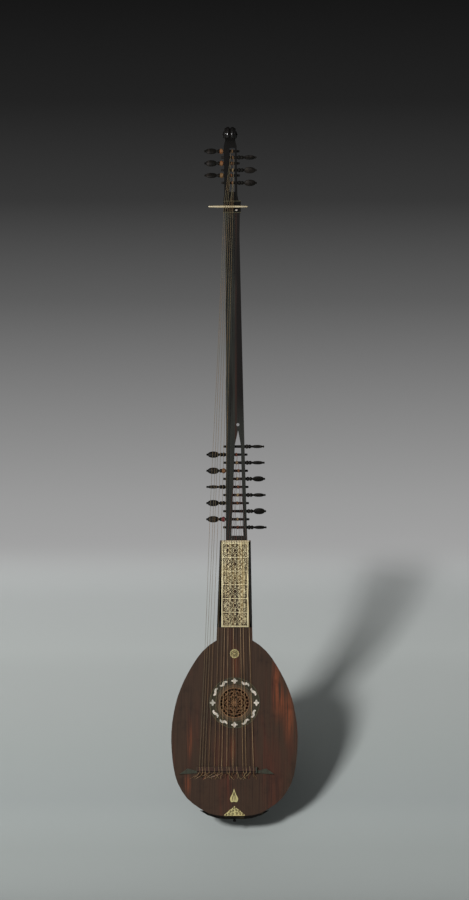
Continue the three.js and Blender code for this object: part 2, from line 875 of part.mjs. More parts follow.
// Turns of string round the shaft: a straight lead-in, the helix, and an end that dips into the wood.
function windingPoints(peg, { angle, coil_radius, winding_x, radius }, turns) {
  const pitch = 2 * radius + winding_gap;
  const middle = slotMiddle(peg);
  const direction = winding_x < middle ? 1 : -1;
  const at = (turned, reach) =>
    new THREE.Vector3(
      winding_x + (direction * pitch * turned) / (2 * Math.PI),
      peg.y - reach * Math.cos(angle + turned),
      peg.z + reach * Math.sin(angle + turned),
    );
  const steps = turns * winding_steps;
  const points = [];
  for (let k = 0; k <= steps; k++) points.push(at((2 * Math.PI * k) / winding_steps, coil_radius));
  const lead = points[0].clone();
  lead.y -= 2 * radius * Math.sin(angle);
  lead.z -= 2 * radius * Math.cos(angle);
  const dip = at((2 * Math.PI * (steps + 1)) / winding_steps, peg_shaft_radius - radius);
  return [lead, ...points, dip];
}

function slotMiddle(peg) {
  const edges = upper_pegs.includes(peg) ? headSlotEdges() : slotEdges(peg.z);
  return (edges[0] + edges[1]) / 2;
}

// The least distance between turns of one winding, less the cord's own thickness.
function leastGap(points, radius) {
  let least = Infinity;
  for (let i = 0; i < points.length; i++) {
    for (let j = i + winding_steps / 2; j < points.length; j++) {
      least = Math.min(least, points[i].distanceTo(points[j]) - 2 * radius);
    }
  }
  return least;
}

function pegGeometry(peg, winding) {
  const tip = -peg.span - peg_tip_reach;
  const profile = [
    [0, tip],
    [peg_tip_radius, tip],
    [peg_shaft_radius, seat_gap],
    [peg_shaft_radius, bead_first - 2 * bead_half_length],
  ];
  for (let k = 0; k < 2; k++) {
    const middle = bead_first + k * bead_pitch;
    profile.push([bead_radius, middle - bead_half_length]);
    profile.push([bead_radius, middle + bead_half_length]);
    profile.push([bead_neck_radius, middle + bead_pitch / 2]);
  }
  const neck_end = peg_head_start + bead_neck_radius;
  profile.push([bead_neck_radius, neck_end], [0, neck_end]);
  const head_profile = peg_head_shares.map(
    ([across, along]) => [across * peg_head_half_width, along * peg_head_length],
  );
  const turned = (points) =>
    new THREE.LatheGeometry(points.map(([r, s]) => new THREE.Vector2(r, s)), peg_sides);
  const head = turned(head_profile)
    .scale(peg_head_flatness_share, 1, 1)
    .translate(0, peg_head_start, 0)
    .rotateY(THREE.MathUtils.degToRad(peg.turn));
  const pieces = [turned(profile), head].map((geometry) =>
    geometry.rotateZ((-peg.side * Math.PI) / 2).translate(peg.wall, peg.y, peg.z),
  );
  if (winding) pieces.push(cord(winding.points, winding.radius, winding_sides));
  return join(...pieces);
}

// Assembly

const belly_wood = material(0x4a3a34, 0.45);
const dark_wood = material(0x2a2320, 0.4);
const ebony = material(0x1d1a19, 0.35);
const rib_wood = material(0x3a2620, 0.38);
const light_wood = material(0xb59468, 0.7);
const rose_wood = material(0x8a5a32, 0.6);
const pearl_ring = material(0x2b2422, 0.3);
const ivory = material(0xe2d5ad, 0.4);
const gut = material(0xc9b184, 0.5);

const theorbo = new THREE.Group();

function add(name, geometry, finish) {
  const mesh = new THREE.Mesh(geometry, finish);
  mesh.name = name;
  theorbo.add(mesh);
  return mesh;
}

add("soundboard", soundboardGeometry(), belly_wood);
add("rose", roseGeometry(), rose_wood);
const ring_shape = ringShape(ring_inner_radius, ring_outer_radius);
add("rosette_ring", plate(ring_shape, ring_thickness, board_front_y + ring_thickness), pearl_ring);
add("bridge", bridgeGeometry(), dark_wood);

for (let k = 0; k < rib_count; k++) add(`bowl_rib_${k + 1}`, ribGeometry(k), rib_wood);
bar_place_shares.forEach((share, k) => {
  add(`belly_bar_${k + 1}`, barGeometry(tail_z + share * body_length), light_wood);
});
add("tail_block", tailBlockGeometry(), light_wood);
add("neck_block", blockGeometry(outline_steps - neck_block_steps, outline_steps), light_wood);
add("tail_cap", tailCapGeometry(), ebony);

const button_profile = [
  [0, 0],
  [button_foot_radius, 0],
  [button_foot_radius, button_foot_length / 2],
  [button_shank_radius, button_foot_length],
  [button_shank_radius, button_shank_length],
  [0, button_shank_length],
].map(([r, s]) => new THREE.Vector2(r, s));
add("end_button", new THREE.LatheGeometry(button_profile, button_sides).rotateX(Math.PI / 2), ebony);

add("neck", neckGeometry(), dark_wood);
add("fingerboard", fingerboardGeometry(), ebony);
add("ivory_panel", panelGeometry(), ivory);
add("nut", nutGeometry(), ivory);
add("extension", extensionGeometry(), dark_wood);
add("upper_pegbox", upperPegboxGeometry(), dark_wood);
add("upper_nut", upperNutGeometry(), ivory);

const windings = new Map();
let least_gap = Infinity;

function addStrings(prefix, count, routeOf, pegs, peg_numbers, turns) {
  for (let i = 0; i < count; i++) {
    const way = routeOf(i);
    const peg = pegs[peg_numbers[i]];
    const points = windingPoints(peg, way, turns);
    least_gap = Math.min(least_gap, leastGap(points, way.radius));
    windings.set(peg.name, { points, radius: way.radius });
    add(`${prefix}_${i + 1}`, cord(way.points, way.radius, string_sides), gut);
  }
}

addStrings("stopped_string", stopped_count, stoppedRoute, lower_pegs, stopped_peg_steps, stopped_turns);
addStrings("diapason", diapason_count, diapasonRoute, upper_pegs, diapason_peg_steps, diapason_turns);
for (const peg of [...lower_pegs, ...upper_pegs]) {
  add(peg.name, pegGeometry(peg, windings.get(peg.name)), ebony);
}
console.log(`least gap between turns of a winding: ${least_gap.toFixed(2)} mm`);

export default theorbo;
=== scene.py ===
"""Dresses the theorbo: carved, turned and inlaid pieces, finishes, strings and the studio around it."""

import itertools
import json
import math
import random

import bmesh
import bpy
from bpy.props import FloatProperty, FloatVectorProperty, IntProperty, PointerProperty
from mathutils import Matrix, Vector


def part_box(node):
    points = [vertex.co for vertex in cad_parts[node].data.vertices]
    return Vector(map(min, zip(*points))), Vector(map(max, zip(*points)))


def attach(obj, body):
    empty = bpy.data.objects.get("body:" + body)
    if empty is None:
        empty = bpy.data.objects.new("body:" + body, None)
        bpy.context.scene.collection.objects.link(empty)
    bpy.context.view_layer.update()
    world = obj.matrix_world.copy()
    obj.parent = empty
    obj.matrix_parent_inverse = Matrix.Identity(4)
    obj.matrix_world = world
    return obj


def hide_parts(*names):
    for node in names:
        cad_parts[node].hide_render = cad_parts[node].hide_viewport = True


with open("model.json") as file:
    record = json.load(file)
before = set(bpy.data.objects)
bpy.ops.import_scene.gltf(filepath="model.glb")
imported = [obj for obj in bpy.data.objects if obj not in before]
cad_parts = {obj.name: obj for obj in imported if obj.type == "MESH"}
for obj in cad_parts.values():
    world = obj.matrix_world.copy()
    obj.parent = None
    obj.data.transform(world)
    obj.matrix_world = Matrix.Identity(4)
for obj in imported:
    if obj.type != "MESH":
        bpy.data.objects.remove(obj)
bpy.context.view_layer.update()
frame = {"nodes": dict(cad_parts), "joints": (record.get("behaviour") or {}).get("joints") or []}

bl_info = {
    "name": "Theorbo dressing",
    "version": (1, 0, 0),
    "blender": (4, 5, 0),
    "location": "View3D > Sidebar > Theorbo",
    "description": "Builds the visible pieces and finishes of a long-necked bass lute",
    "category": "Object",
}

FULL_TURN = 2 * math.pi
MERGE_REACH = 1e-6
CAD_MERGE_REACH = 1e-5
FLAT_ANGLE = math.radians(0.5)
EDGE_ANGLE = math.radians(40)
SMOOTH_ANGLE = math.radians(38)
MAIN_BODY = "body"
# How far two corners of a seam, or the two ends of one colour on the bridge, may lie apart.
SEAM_REACH = 0.0006
RIB_REACH = 0.003
EDGE_SOFTNESS = {"thin": 0.00025, "fine": 0.0005, "full": 0.0009}


# Settings


def length(label, default, description):
    """A length that the user can change, in metres."""
    settings = {"default": default, "min": 0, "unit": "LENGTH", "precision": 5}
    return FloatProperty(name=label, description=description, **settings)


def count(label, default, description):
    """How many of a thing."""
    return IntProperty(name=label, description=description, default=default, min=1)


def power(label, default, description):
    """The power of a lamp, in watts."""
    return FloatProperty(name=label, description=description, default=default, min=0, unit="POWER")


def linear(level):
    """One channel of a written colour as light."""
    return level / 12.92 if level <= 0.04045 else ((level + 0.055) / 1.055) ** 2.4


def tone(code):
    """A colour written as six hexadecimal digits, as light."""
    return tuple(linear(int(code[k : k + 2], 16) / 255) for k in (0, 2, 4))


def paint(label, code, description):
    """A colour that the user can change."""
    settings = {"default": tone(code), "size": 3, "min": 0, "max": 1, "subtype": "COLOR"}
    return FloatVectorProperty(name=label, description=description, **settings)


class TheorboFinishes(bpy.types.PropertyGroup):
    """Colours of the woods, ivory, pearl and gut."""

    belly: paint("Soundboard", "38291f", "Varnished softwood of the soundboard")
    belly_streak: paint("Soundboard streaks", "4f241a", "Red-brown streaks along the grain")
    belly_patch: paint("Soundboard patches", "7d4126", "Orange places where the varnish is thin")
    belly_pale: paint("Pale soundboard", "665640", "Olive-brown wood between the rose and its ring")
    belly_line: paint("Soundboard grain", "1d1614", "Winter growth lines")
    rib: paint("Ribs", "2a1a16", "Dark figured wood of the bowl")
    rib_figure: paint("Rib figure", "4f2a1c", "Lighter figure in the ribs")
    ebony: paint("Ebony", "0f0e0d", "Pegs, tail cap and fingerboard edges")
    ebony_worn: paint("Worn ebony", "2c2724", "Where hands have rubbed the dark wood")
    long_neck: paint("Second neck", "120f0e", "Dark wood of the long neck")
    # Laid over the bass side of the second neck as painted light, and over its foot.
    long_neck_left: paint("Second neck, bass side", "2a2b27", "Greyer bass side of the long neck")
    long_neck_line: paint("Second neck joint", "2b1a15", "Reddish line where the two sides meet")
    neck: paint("Neck", "2a1915", "Dark red-brown wood of the neck and its tongue")
    rose: paint("Rose", "7a5a40", "Carved lattice of the rose")
    rose_dark: paint("Rose shade", "3c1f14", "Deep places in the lattice")
    spruce: paint("Inner wood", "a98a5c", "Bars and blocks inside the bowl")
    ivory: paint("Ivory", "f2e6bb", "Ivory panel, nuts and inlays")
    ivory_shade: paint("Aged ivory", "b09a66", "Yellowed places of the ivory")
    nut_ivory: paint("Nut ivory", "ab9f84", "Greyer old ivory of the two nuts")
    inlay: paint("Inlay ivory", "aea674", "Greenish old ivory of the disc, flame and tail ornament")
    ink: paint("Engraving", "2e2012", "Dark filling of the engraved lines")
    pearl: paint("Pearl", "d0c8b8", "Mother-of-pearl of the ring")
    pearl_shade: paint("Pearl shade", "7f7e74", "Green-grey shine in the pearl")
    mastic: paint("Mastic", "302c1e", "Dark filling that the pearl is set in")
    # Also laid along the bridge's bevelled edges as a painted highlight.
    ring_line: paint("Ring lines", "5e5c48", "Thin lines inside and outside the pearl ring")
    # The wings' tone is their dark wood with a painted grey-green sheen over it.
    wing_sheen: paint("Bridge wings", "35372e", "Grey-green shine on the ends of the bridge")
    bridge: paint("Bridge", "372620", "Dark red-brown bar of the bridge")
    bass_gut: paint("Bass gut", "57533f", "Greyish long bass strings")
    gut: paint("Gut", "a08763", "Plain gut strings")
    gut_dark: paint("Aged gut", "6f5637", "Darker places of the strings")
    gut_red: paint("Red gut", "702b21", "Red-dyed string ends")
    gut_orange: paint("Orange gut", "7e4c2c", "Orange-dyed string ends")
    gut_wine: paint("Wine gut", "4a2620", "Dark red-brown strings above the nut")
    gut_pink: paint("Pink gut", "5c2631", "Pink-dyed string ends")


# Finishes


def add_node(tree, kind, inputs=(), **settings):
    """A new node with its settings, each input fed by a value or by another node's output."""
    made = tree.nodes.new(kind)
    for name, value in settings.items():
        setattr(made, name, value)
    for name, value in dict(inputs).items():
        socket = made.inputs[name]
        if isinstance(value, bpy.types.NodeSocket):
            tree.links.new(value, socket)
        else:
            socket.default_value = (*value, 1.0) if socket.type == "RGBA" else value
    return made


class Finish:
    """One material, with short calls for the nodes that it is made of."""

    def __init__(self, name, base, roughness, coat=0.0, specular=0.14):
        self.material = bpy.data.materials.new(name)
        self.material.use_nodes = True
        self.tree = self.material.node_tree
        self.shader = self.tree.nodes["Principled BSDF"]
        self.shader.inputs["Roughness"].default_value = roughness
        self.shader.inputs["Specular IOR Level"].default_value = specular
        self.shader.inputs["Coat Weight"].default_value = coat
        self.place = self.node("ShaderNodeTexCoord", "Object")
        self.colour = base

    def node(self, kind, output, inputs=(), **settings):
        """One output of a new node."""
        return add_node(self.tree, kind, inputs, **settings).outputs[output]

    def mapped(self, center, scale):
        """The place on the object, counted from a centre in steps of a scale."""
        values = {"Vector": self.place, "Location": center, "Scale": scale}
        return self.node("ShaderNodeMapping", "Vector", values, vector_type="TEXTURE")

    def marks(self, pattern, swirl=0.0, offset=(0, 0, 0)):
        """Uneven marks of a named pattern, stretched so that they run along one way."""
        scale, detail, rough = patterns[pattern]
        place = self.mapped(offset, [1 / value for value in scale])
        values = {"Vector": place, "Scale": 1.0, "Detail": detail, "Roughness": rough, "Distortion": swirl}
        return self.node("ShaderNodeTexNoise", "Fac", values)

    def ramp(self, value, low, high, flip=False):
        """0 below low and 1 above high, or the other way round."""
        ends = {"To Min": float(flip), "To Max": float(not flip)}
        values = {"Value": value, "From Min": low, "From Max": high, **ends}
        return self.node("ShaderNodeMapRange", "Result", values, interpolation_type="SMOOTHSTEP")

    def math(self, operation, a, b=0.0):
        return self.node("ShaderNodeMath", "Value", {0: a, 1: b}, operation=operation)

    def axis(self, name):
        return self.node("ShaderNodeSeparateXYZ", name, {"Vector": self.place})

    def patch(self, center, half_size, softness=1.0):
        """1 in the middle of an oval place on the object, falling to 0 at its edge."""
        way = self.mapped(center, half_size)
        far = self.node("ShaderNodeVectorMath", "Value", {0: way}, operation="LENGTH")
        return self.ramp(far, 1.0 - softness, 1.0, flip=True)

    def lay(self, tone, strength, field, low=None, high=None):
        """Lays a tone over the colour so far where a field is high, or where it rises from low to high."""
        amount = field if low is None else self.ramp(field, low, high)
        if strength < 1:
            amount = self.math("MULTIPLY", amount, strength)
        self.colour = self.node("ShaderNodeMix", 2, {0: amount, 6: self.colour, 7: tone}, data_type="RGBA")

    def edge_wear_and_sheen(self, tone, strength):
        """Lays a tone over the marked bevelled edges: rubbed wear on most finishes, a painted highlight on
        the bridge.
        """
        self.lay(tone, strength, self.node("ShaderNodeAttribute", "Fac", attribute_name="wear"))

    def coloured(self):
        """The material with its colour."""
        self.tree.links.new(self.colour, self.shader.inputs["Base Color"])
        return self.material

    def done(self, shine, low, high, relief, strength, reach):
        """The material with its colour, its gloss from low to high along a field, and its relief."""
        gloss = self.node("ShaderNodeMapRange", "Result", {"Value": shine, "To Min": low, "To Max": high})
        self.tree.links.new(gloss, self.shader.inputs["Roughness"])
        values = {"Height": relief, "Strength": strength, "Distance": reach}
        self.tree.links.new(self.node("ShaderNodeBump", "Normal", values), self.shader.inputs["Normal"])
        return self.coloured()


# Each pattern: its marks a metre across X, Y and Z, their detail and their roughness.
patterns = {
    "grain": ((620, 620, 5), 2.0, 0.6),
    "fine_grain": ((620, 620, 5), 3.0, 0.6),
    "streak": ((55, 55, 3.5), 4.0, 0.6),
    "broad": ((16, 16, 3), 3.0, 0.55),
    "fibre": ((110, 110, 7), 4.0, 0.6),
    "pore": ((1500, 1500, 90), 2.0, 0.5),
    "cloud": ((22, 22, 22), 3.0, 0.5),
    "grime": ((22, 22, 22), 4.0, 0.6),
    "speck": ((900, 900, 900), 2.0, 0.5),
    "ivory_cloud": ((60, 60, 30), 4.0, 0.6),
    "ivory_line": ((900, 900, 30), 3.0, 0.5),
    "pearl_layer": ((240, 240, 420), 3.0, 0.6),
    "pearl_band": ((120, 120, 90), 2.0, 0.5),
    "age": ((30, 30, 14), 3.0, 0.6),
    "ply": ((1200, 1200, 1200), 2.0, 0.6),
    "paper": ((40, 40, 40), 3.0, 0.6),
}
# Depths of the relief in metres.
GRAIN_RELIEF = 0.0004
PORE_RELIEF = 0.0003
FINE_RELIEF = 0.0002
# Length of the two walls at the foot of the second neck.
FORK_REACH = 0.29
# Its bass side is painted greyer as painted light, as if lit from that side; it fades between these places
# from its middle line, and the joint line between these.
LIT_SIDE_FADE = (-0.002, 0.0035)
JOINT_LINE_FADE = (0.001, 0.004)
# The rosy shine in the pearl.
PEARL_BLUSH = "e8c9c0"
# Height of the painted shadow along the lower edge of the bridge.
PAINTED_SHADOW_HEIGHT = 0.0012
# How far the bridge's bar reaches past its outer strings, and how far its ends hang below it.
BAR_REACH = 0.007
BRIDGE_TIP_DROP = 0.004
# Radii of the lines inside and outside the pearl ring, and of the ring's middle line.
RING_LINE_RADII = (0.0541, 0.0709)
RING_RADIUS = 0.062
# Orange places on the soundboard: middle and half size as shares of its half width and length, and strength.
patch_shares = [
    ((0.66, 0.68), (0.10, 0.24), 0.68),
    ((0.855, 0.53), (0.12, 0.20), 0.62),
    ((0.74, 0.60), (0.07, 0.16), 0.7),
    ((-0.71, 0.41), (0.07, 0.14), 0.45),
    ((-0.74, 0.17), (0.08, 0.08), 0.42),
    ((-0.03, 0.36), (0.08, 0.12), 0.3),
    ((0.02, 0.80), (0.10, 0.16), 0.3),
]


def belly_finish(tones):
    """Old varnish over softwood: fine grain, red streaks and thin orange places."""
    made = Finish("belly_wood", tones.belly, 0.5, specular=0.1)
    low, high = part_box("soundboard")
    tall = high.z - low.z
    grain = made.marks("grain")
    broad = made.marks("broad", offset=(0.7, 0, 0))
    fibres = made.marks("fibre", 0.6)
    made.lay(tones.belly_streak, 0.4, broad, 0.5, 0.75)
    made.lay(tones.belly_streak, 0.5, made.marks("streak", offset=(0.3, 0, 0.2)), 0.56, 0.76)
    for (across, along), (half_across, half_along), strength in patch_shares:
        center = (across * high.x, 0, low.z + along * tall)
        inside = made.patch(center, (half_across * high.x, 1, half_along * tall))
        made.lay(tones.belly_patch, strength, made.math("MULTIPLY", inside, made.ramp(fibres, 0.3, 0.52)))
    inner = RING_LINE_RADII[0]
    made.lay(tones.belly_pale, 0.5, made.patch(sum(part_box("rose"), Vector()) / 2, (inner, 1, inner), 0.1))
    made.lay(tones.belly_line, 0.6, grain, 0.5, 0.62)
    made.lay(tones.ebony, 0.35, made.marks("grime"), 0.5, 0.75)
    made.edge_wear_and_sheen(tones.belly_patch, 0.5)
    return made.done(broad, 0.42, 0.6, grain, 0.25, GRAIN_RELIEF)


def wood_finish(name, base, figure, line, rough=0.4, coat=0.0, turn=0.0, specular=0.14):
    """Hard dark wood: streaks along Z, fine pores and rubbed edges."""
    made = Finish(name, base, rough, coat, specular)
    streak = made.marks("streak", 0.4, (turn, 0, turn))
    pores = made.marks("pore")
    cloud = made.marks("cloud", offset=(0, turn, 0))
    made.lay(figure, 0.8, streak, 0.5, 0.76)
    made.lay(line, 0.5, pores, 0.55, 0.7)
    made.lay(figure, 0.3, cloud, 0.5, 0.8)
    made.edge_wear_and_sheen(figure, 0.55)
    shine = made.math("ADD", made.math("MULTIPLY", streak, 0.6), made.math("MULTIPLY", cloud, 0.4))
    return made.done(shine, rough - 0.1, rough + 0.15, pores, 0.2, PORE_RELIEF)


def long_neck_finish(tones):
    """The second neck: a bass side painted greyer as painted light, a reddish joint line and a near-black
    treble side.
    """
    made = Finish("long_neck_wood", tones.long_neck, 0.42, specular=0.06)
    base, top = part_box("extension")
    middle = (base.x + top.x) / 2
    across = made.axis("X")
    # Painted light: the bass side is laid greyer, as if lit from that side.
    side = made.ramp(across, *(middle + reach for reach in LIT_SIDE_FADE), flip=True)
    streak = made.marks("streak", offset=(0.5, 0, 0))
    made.lay(tones.long_neck_left, 1, made.math("MULTIPLY", side, made.ramp(streak, 0.3, 0.7)))
    fork_top = base.z + FORK_REACH
    fork = made.ramp(made.axis("Z"), fork_top, fork_top + FORK_REACH / 2, flip=True)
    made.lay(tones.long_neck_left, 0.75, fork)
    beside = made.math("ABSOLUTE", made.math("SUBTRACT", across, middle))
    near = made.ramp(beside, *JOINT_LINE_FADE, flip=True)
    made.lay(tones.long_neck_line, 1, made.math("MULTIPLY", near, made.ramp(streak, 0.35, 0.6)))
    made.lay(tones.ebony, 0.45, made.marks("fine_grain"), 0.45, 0.65)
    made.edge_wear_and_sheen(tones.ebony_worn, 0.55)
    return made.done(streak, 0.36, 0.56, made.marks("pore"), 0.2, PORE_RELIEF)


def bridge_finish(tones):
    """Red-brown bar between two wings of painted grey-green sheen, with a painted shadow along its lower
    edge and a painted highlight on its bevelled edges.
    """
    # The base tone is the wings' painted sheen; the bar's red-brown is laid over it below.
    made = Finish("bridge_wood", tones.wing_sheen, 0.5, specular=0.1)
    names = string_names()
    first = string_line(names[0])[0].x - BAR_REACH
    last = string_line(names[-1])[0].x + BAR_REACH
    streak = made.marks("streak", offset=(0.2, 0, 0.1))
    pores = made.marks("pore")
    across = made.axis("X")
    after = made.ramp(across, first - SEAM_REACH, first + SEAM_REACH)
    before = made.ramp(across, last - SEAM_REACH, last + SEAM_REACH, flip=True)
    made.lay(tones.bridge, 1, made.math("MULTIPLY", after, before))
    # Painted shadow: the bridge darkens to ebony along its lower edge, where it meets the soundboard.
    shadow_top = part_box("bridge")[0].z + PAINTED_SHADOW_HEIGHT
    made.lay(tones.ebony, 0.9, made.ramp(made.axis("Z"), shadow_top, shadow_top + PAINTED_SHADOW_HEIGHT, flip=True))
    made.lay(tones.long_neck_line, 0.5, streak, 0.45, 0.7)
    made.lay(tones.ebony, 0.5, pores, 0.55, 0.7)
    # Painted highlight: a lighter grey-green along the bridge's bevelled edges, where light catches them.
    made.edge_wear_and_sheen(tones.ring_line, 0.8)
    return made.done(streak, 0.42, 0.6, pores, 0.2, PORE_RELIEF)


def ivory_finish(tones, name, light, shade):
    """Old ivory: fine wavy lines, yellowed clouds and darker dirt."""
    made = Finish(name, light, 0.34, coat=0.05, specular=0.3)
    cloud = made.marks("ivory_cloud")
    lines = made.marks("ivory_line", 0.8)
    made.lay(tones.ivory_shade, shade, cloud, 0.35, 0.75)
    made.lay(tones.gut_dark, shade / 2, lines, 0.5, 0.65)
    made.lay(tones.ink, 0.5, made.marks("speck"), 0.62, 0.72)
    made.edge_wear_and_sheen(tones.ivory_shade, 0.4)
    return made.done(cloud, 0.28, 0.46, lines, 0.12, FINE_RELIEF)


def pearl_finish(tones):
    """Mother-of-pearl: layered sheen that shifts from cream to green-grey."""
    made = Finish("pearl_inlay", tones.pearl, 0.22, coat=0.3, specular=0.4)
    layers = made.marks("pearl_layer", 1.6)
    bands = made.marks("pearl_band", 0.6)
    made.lay(tones.pearl_shade, 1, layers, 0.38, 0.62)
    made.lay(tone(PEARL_BLUSH), 0.35, bands, 0.45, 0.7)
    return made.done(bands, 0.12, 0.3, layers, 0.1, FINE_RELIEF)


def gut_finish(name, light, dark):
    """Twisted gut: slanting ply marks and uneven age."""
    made = Finish(name, light, 0.45, specular=0.25)
    age = made.marks("age")
    ply = made.marks("ply")
    made.lay(dark, 1, age, 0.35, 0.7)
    made.lay(dark, 0.4, ply, 0.5, 0.68)
    return made.done(age, 0.36, 0.55, ply, 0.3, FINE_RELIEF)


# Each wood: its material, its tones of base, figure and pores, roughness, coat, shift of the marks, shine.
woods = {
    "rib": ("rib_wood", ("rib", "rib_figure", "ebony"), 0.36, 0.06, 0.2),
    "ebony": ("ebony", ("ebony", "ebony_worn", "mastic"), 0.4, 0.02, 0.6),
    "mastic": ("mastic", ("mastic", "ebony_worn", "ebony"), 0.55, 0.0, 0.3),
    "neck": ("neck_wood", ("neck", "belly_streak", "ebony"), 0.42, 0.0, 0.9),
    "head": ("head_wood", ("ebony", "long_neck", "ebony"), 0.4, 0.0, 0.7, 0.03),
    "peg": ("peg_wood", ("ebony", "ebony_worn", "mastic"), 0.44, 0.0, 0.1, 0.05),
    "scroll": ("scroll_wood", ("ebony", "long_neck", "ebony"), 0.26, 0.4, 0.45),
    "rose": ("rose_wood", ("rose", "gut_dark", "rose_dark"), 0.5, 0.0, 0.5),
    "spruce": ("inner_wood", ("spruce", "rose", "ivory_shade"), 0.6, 0.0, 0.8),
    "ink": ("engraving", ("ink", "ivory_shade", "ebony"), 0.5, 0.0, 0.1),
    "ring_line": ("ring_line", ("ring_line", "gut_dark", "mastic"), 0.5, 0.0, 0.15),
    "tail": ("tail_wood", ("ebony", "mastic", "ebony"), 0.5, 0.0, 0.35, 0.02),
}
# Each gut: its material and its light and dark tones.
guts = {
    "gut": ("gut", ("gut", "gut_dark")),
    "bass_gut": ("bass_gut", ("bass_gut", "gut_dark")),
    "gut_dark": ("dark_gut", ("ink", "mastic")),
    "gut_red": ("red_gut", ("gut_red", "gut_dark")),
    "gut_orange": ("orange_gut", ("gut_orange", "gut_dark")),
    "gut_pink": ("pink_gut", ("gut_pink", "gut_red")),
    "gut_wine": ("wine_gut", ("gut_wine", "ink")),
}


def make_finishes(tones):
    """Every finish by name."""

    def picked(names):
        return [getattr(tones, name) for name in names]

    return {
        "belly": belly_finish(tones),
        "bridge": bridge_finish(tones),
        "long_neck": long_neck_finish(tones),
        "pearl": pearl_finish(tones),
        "ivory": ivory_finish(tones, "ivory", tones.ivory, 0.5),
        "old_ivory": ivory_finish(tones, "old_ivory", tones.nut_ivory, 0.4),
        "inlay": ivory_finish(tones, "inlay_ivory", tones.inlay, 0.6),
        **{key: wood_finish(name, *picked(names), *rest) for key, (name, names, *rest) in woods.items()},
        **{key: gut_finish(name, *picked(names)) for key, (name, names) in guts.items()},
    }


finishes = {}
# The CAD's material slot of the pieces in each finish.
finish_slots = {
    "belly": "belly",
    "rib": "rib_wood",
    "spruce": "spruce",
    "rose": "rose",
    "peg": "peg_wood",
    **dict.fromkeys(("mastic", "pearl", "ring_line"), "ring"),
    **dict.fromkeys(("neck", "long_neck", "bridge", "head", "scroll"), "dark_wood"),
    **dict.fromkeys(("ebony", "tail"), "ebony"),
    **dict.fromkeys(("ivory", "old_ivory", "inlay", "ink"), "ivory"),
    **dict.fromkeys(guts, "gut"),
}


# Shapes


def placed(name, data):
    """A new object in the scene."""
    made = bpy.data.objects.new(name, data)
    bpy.context.scene.collection.objects.link(made)
    return made


def smooth(mesh):
    """Rounded shading, with hard edges kept where faces meet steeply."""
    mesh.polygons.foreach_set("use_smooth", [True] * len(mesh.polygons))
    mesh.set_sharp_from_angle(angle=SMOOTH_ANGLE)


def piece(name, mesh, finish, body=MAIN_BODY, nodes=()):
    """A finished piece: its object, finish, body and the CAD nodes that it stands for."""
    mesh.materials.clear()
    mesh.materials.append(finishes[finish])
    made = placed(name, mesh)
    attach(made, body)
    if nodes:
        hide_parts(*nodes)
    return made


def formed(name, work, finish, body=MAIN_BODY, nodes=()):
    """A finished piece from a bmesh."""
    return piece(name, mesh_of(name, work), finish, body, nodes=nodes)


def corded(name, lines, radius, sides, finish, body=MAIN_BODY, nodes=()):
    """A finished piece of round cords along the lines."""
    values = {"Radius": radius, "Sides": sides, "Finish": finishes[finish]}
    mesh = run_tree(name, line_mesh(name + "_line", lines), trees["cord"], values)
    return piece(name, mesh, finish, body, nodes)


def carry(node, finish, softness="fine"):
    """The CAD node's own shape with softened edges, in its place."""
    return piece(node + "_finished", softened(node, EDGE_SOFTNESS[softness]), finish, nodes=(node,))


def mesh_of(name, work):
    """The mesh of a bmesh, with its normals facing out."""
    bmesh.ops.remove_doubles(work, verts=work.verts, dist=MERGE_REACH)
    bmesh.ops.recalc_face_normals(work, faces=work.faces)
    mesh = bpy.data.meshes.new(name)
    work.to_mesh(mesh)
    work.free()
    smooth(mesh)
    return mesh


# Sides of the finest lines, of other thin lines and of the strings.
FINE_SIDES = 5
LINE_SIDES = 6
STRING_SIDES = 8
# A scroll's start from its centre, as a share of its size, and how fast it opens.
SCROLL_EYE_SHARE = 0.08
SCROLL_OPENING = 1.3


def rings_into(work, rings):
    """Skins rings of points with faces and caps both ends."""
    rows = [[work.verts.new(point) for point in ring] for ring in rings]
    for one, two in zip(rows, rows[1:]):
        for k in range(len(one)):
            after = (k + 1) % len(one)
            work.faces.new((one[k], one[after], two[after], two[k]))
    work.faces.new(rows[0][::-1])
    work.faces.new(rows[-1])


def turns_of(steps, shift=0.0):
    """Even angles round a circle."""
    return [FULL_TURN * (k + shift) / steps for k in range(steps)]


def ring_of(center, broad, thin, sides):
    """Points round a centre, from the two half sizes of the ring."""
    return [center + math.cos(turn) * broad + math.sin(turn) * thin for turn in turns_of(sides)]


def tube_into(work, points, radii, sides):
    """A round bar along the points, with a radius at each."""
    across = None
    rings = []
    for k, (point, radius) in enumerate(zip(points, radii)):
        along = (points[min(k + 1, len(points) - 1)] - points[max(k - 1, 0)]).normalized()
        if across is None:
            across = along.orthogonal()
        across = (across - along * across.dot(along)).normalized()
        rings.append(ring_of(point, radius * across, radius * along.cross(across), sides))
    rings_into(work, rings)


# Sides of a turned form, of a peg's head and of its knob.
TURNED_SIDES = 20
HEAD_SIDES = 24
KNOB_SIDES = 16


def turned_into(work, profile, place, axis, sides, flat=1.0, turn=0.0):
    """A lathe-turned form from radii and reaches along an axis, flattened one way and turned about it."""
    along = Vector(axis)
    upright = Vector((0, 0, 1)) if abs(along.z) < abs(along.x) else Vector((0, 1, 0))
    broad = (upright * math.cos(turn) + along.cross(upright) * math.sin(turn)).normalized()
    thin = flat * along.cross(broad)
    rings = [(place + along * reach, radius * broad, radius * thin, sides) for radius, reach in profile]
    rings_into(work, [ring_of(*ring) for ring in rings])


